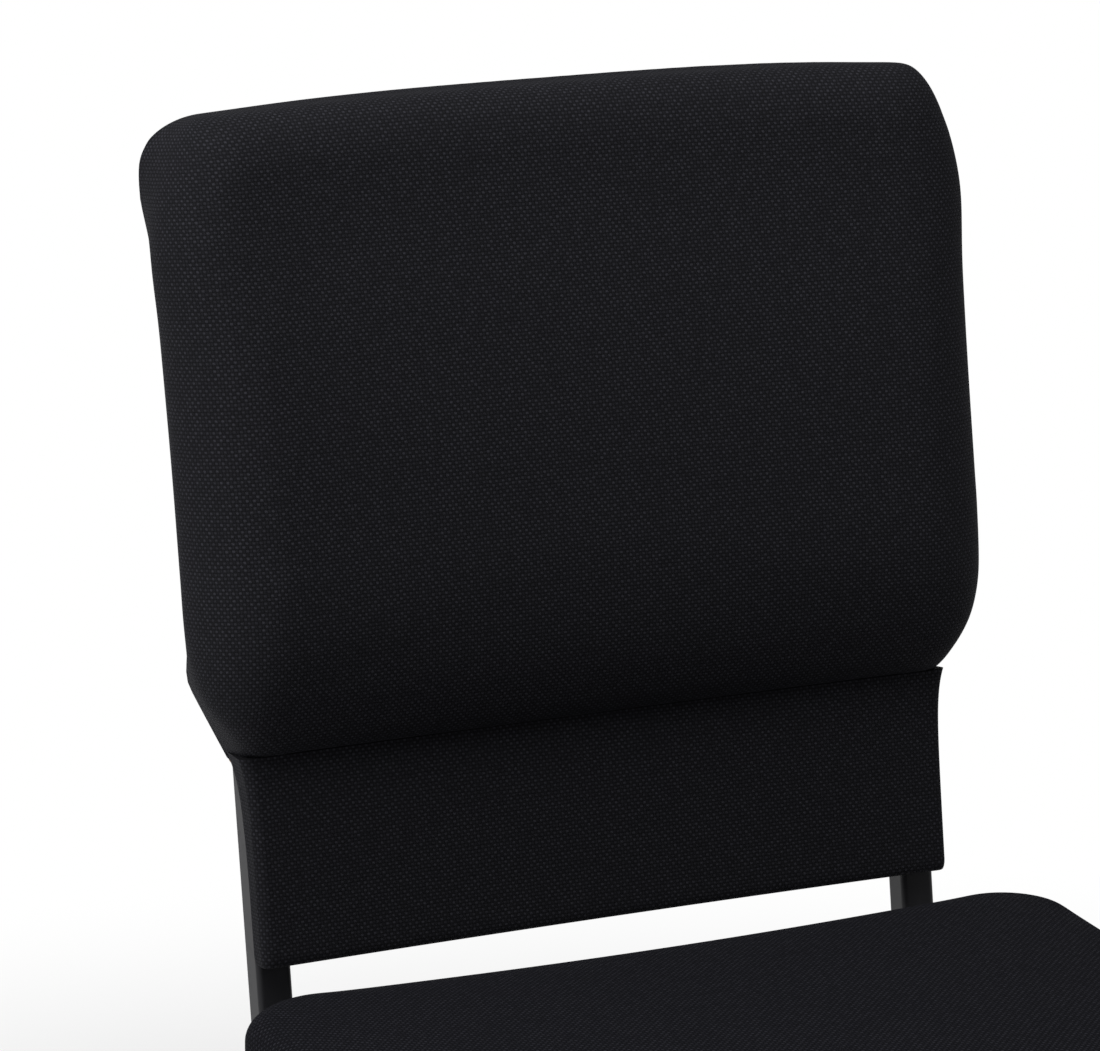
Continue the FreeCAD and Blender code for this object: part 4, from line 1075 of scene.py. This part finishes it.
class CHAIR_OT_stage(Operator):
    """Pale floor, soft studio light and the photograph's view"""
    bl_idname = "chair.stage"
    bl_label = "Stage"

    def floor(self):
        bpy.ops.mesh.primitive_plane_add(size=FLOOR_SIZE, location=(0, 0, 0))
        floor = bpy.context.object
        floor.name = "floor"
        recipe = Recipe("floor")
        span = recipe.node("ShaderNodeVectorMath", {"operation": "LENGTH"},
                           {0: recipe.place()}, out=1)
        far = recipe.ranged(span, *FLOOR_FADE, curve="SMOOTHSTEP")
        seen = sum(recipe.node("ShaderNodeLightPath", out=f"Is {kind} Ray")
                   for kind in ("Camera", "Glossy", "Transmission"))
        pale = recipe.node("ShaderNodeBsdfDiffuse", {}, {"Color": (*colours().floor, 1.0)})
        white = recipe.node("ShaderNodeEmission", {}, {"Color": WHITE, "Strength": 1.0})
        both = recipe.node("ShaderNodeMixShader", {}, {0: seen * far, 1: pale, 2: white})
        floor.data.materials.append(recipe.surface(both))

    def sky(self):
        recipe = Recipe(bpy.data.worlds.new("studio"))
        seen = recipe.node("ShaderNodeLightPath", out="Is Camera Ray")
        fill = recipe.node("ShaderNodeBackground", {}, {"Color": WHITE, "Strength": SKY_FILL})
        white = recipe.node("ShaderNodeBackground", {}, {"Color": WHITE})
        both = recipe.node("ShaderNodeMixShader", {}, {0: seen, 1: fill, 2: white})
        bpy.context.scene.world = recipe.surface(both, "ShaderNodeOutputWorld")

    def stand(self, data, place, heading):
        """Puts a lamp or camera in its place, turned to its heading."""
        stood = bpy.data.objects.new(data.name, data)
        stood.location = place
        stood.rotation_euler = heading.to_track_quat("-Z", "Y").to_euler()
        bpy.context.scene.collection.objects.link(stood)
        return stood

    def lamp(self, name, place, aim, width, power):
        light = bpy.data.lights.new(name, "AREA")
        light.size = width
        light.energy = power
        self.stand(light, place, Vector(aim) - Vector(place))

    def camera(self):
        lens = bpy.data.cameras.new("photo_view")
        lens.sensor_fit = "HORIZONTAL"
        lens.sensor_width = SENSOR
        lens.lens = FOCAL_PIXELS / PHOTO_WIDTH * SENSOR
        lens.clip_end = 60
        heading = Vector((math.sin(VIEW_AZIMUTH) * math.cos(VIEW_ELEVATION),
                          math.cos(VIEW_AZIMUTH) * math.cos(VIEW_ELEVATION),
                          -math.sin(VIEW_ELEVATION)))
        place = VIEW_AIM - heading * VIEW_DISTANCE
        bpy.context.scene.camera = self.stand(lens, place, heading)

    def execute(self, context):
        self.floor()
        self.sky()
        self.camera()
        for lamp in LAMPS:
            self.lamp(*lamp)
        context.scene.view_settings.view_transform = "Standard"
        return {"FINISHED"}


class CHAIR_PT_panel(Panel):
    """Lists the chair's steps in the sidebar"""
    bl_idname = "CHAIR_PT_panel"
    bl_label = "Choir chair"
    bl_space_type = "VIEW_3D"
    bl_region_type = "UI"
    bl_category = "Chair"

    def draw(self, context):
        for step in OPERATORS:
            self.layout.operator(step.bl_idname)


OPERATORS = (CHAIR_OT_back_cushion, CHAIR_OT_lower_panel, CHAIR_OT_seat_cushion,
             CHAIR_OT_rear_cover, CHAIR_OT_dust_cover, CHAIR_OT_frame_finish,
             CHAIR_OT_board_finish, CHAIR_OT_fittings_finish, CHAIR_OT_stage)
CLASSES = (ChairSizes, ChairColours) + OPERATORS + (CHAIR_PT_panel,)


def register():
    for item in CLASSES:
        bpy.utils.register_class(item)
    bpy.types.Scene.chair_sizes = PointerProperty(type=ChairSizes)
    bpy.types.Scene.chair_colours = PointerProperty(type=ChairColours)


def unregister():
    del bpy.types.Scene.chair_colours
    del bpy.types.Scene.chair_sizes
    for item in reversed(CLASSES):
        bpy.utils.unregister_class(item)


def main():
    register()
    bpy.ops.chair.back_cushion()
    bpy.ops.chair.lower_panel()
    bpy.ops.chair.seat_cushion()
    bpy.ops.chair.rear_cover()
    bpy.ops.chair.dust_cover()
    bpy.ops.chair.frame_finish()
    bpy.ops.chair.board_finish()
    bpy.ops.chair.fittings_finish()
    bpy.ops.chair.stage()


if __name__ == "__main__":
    main()
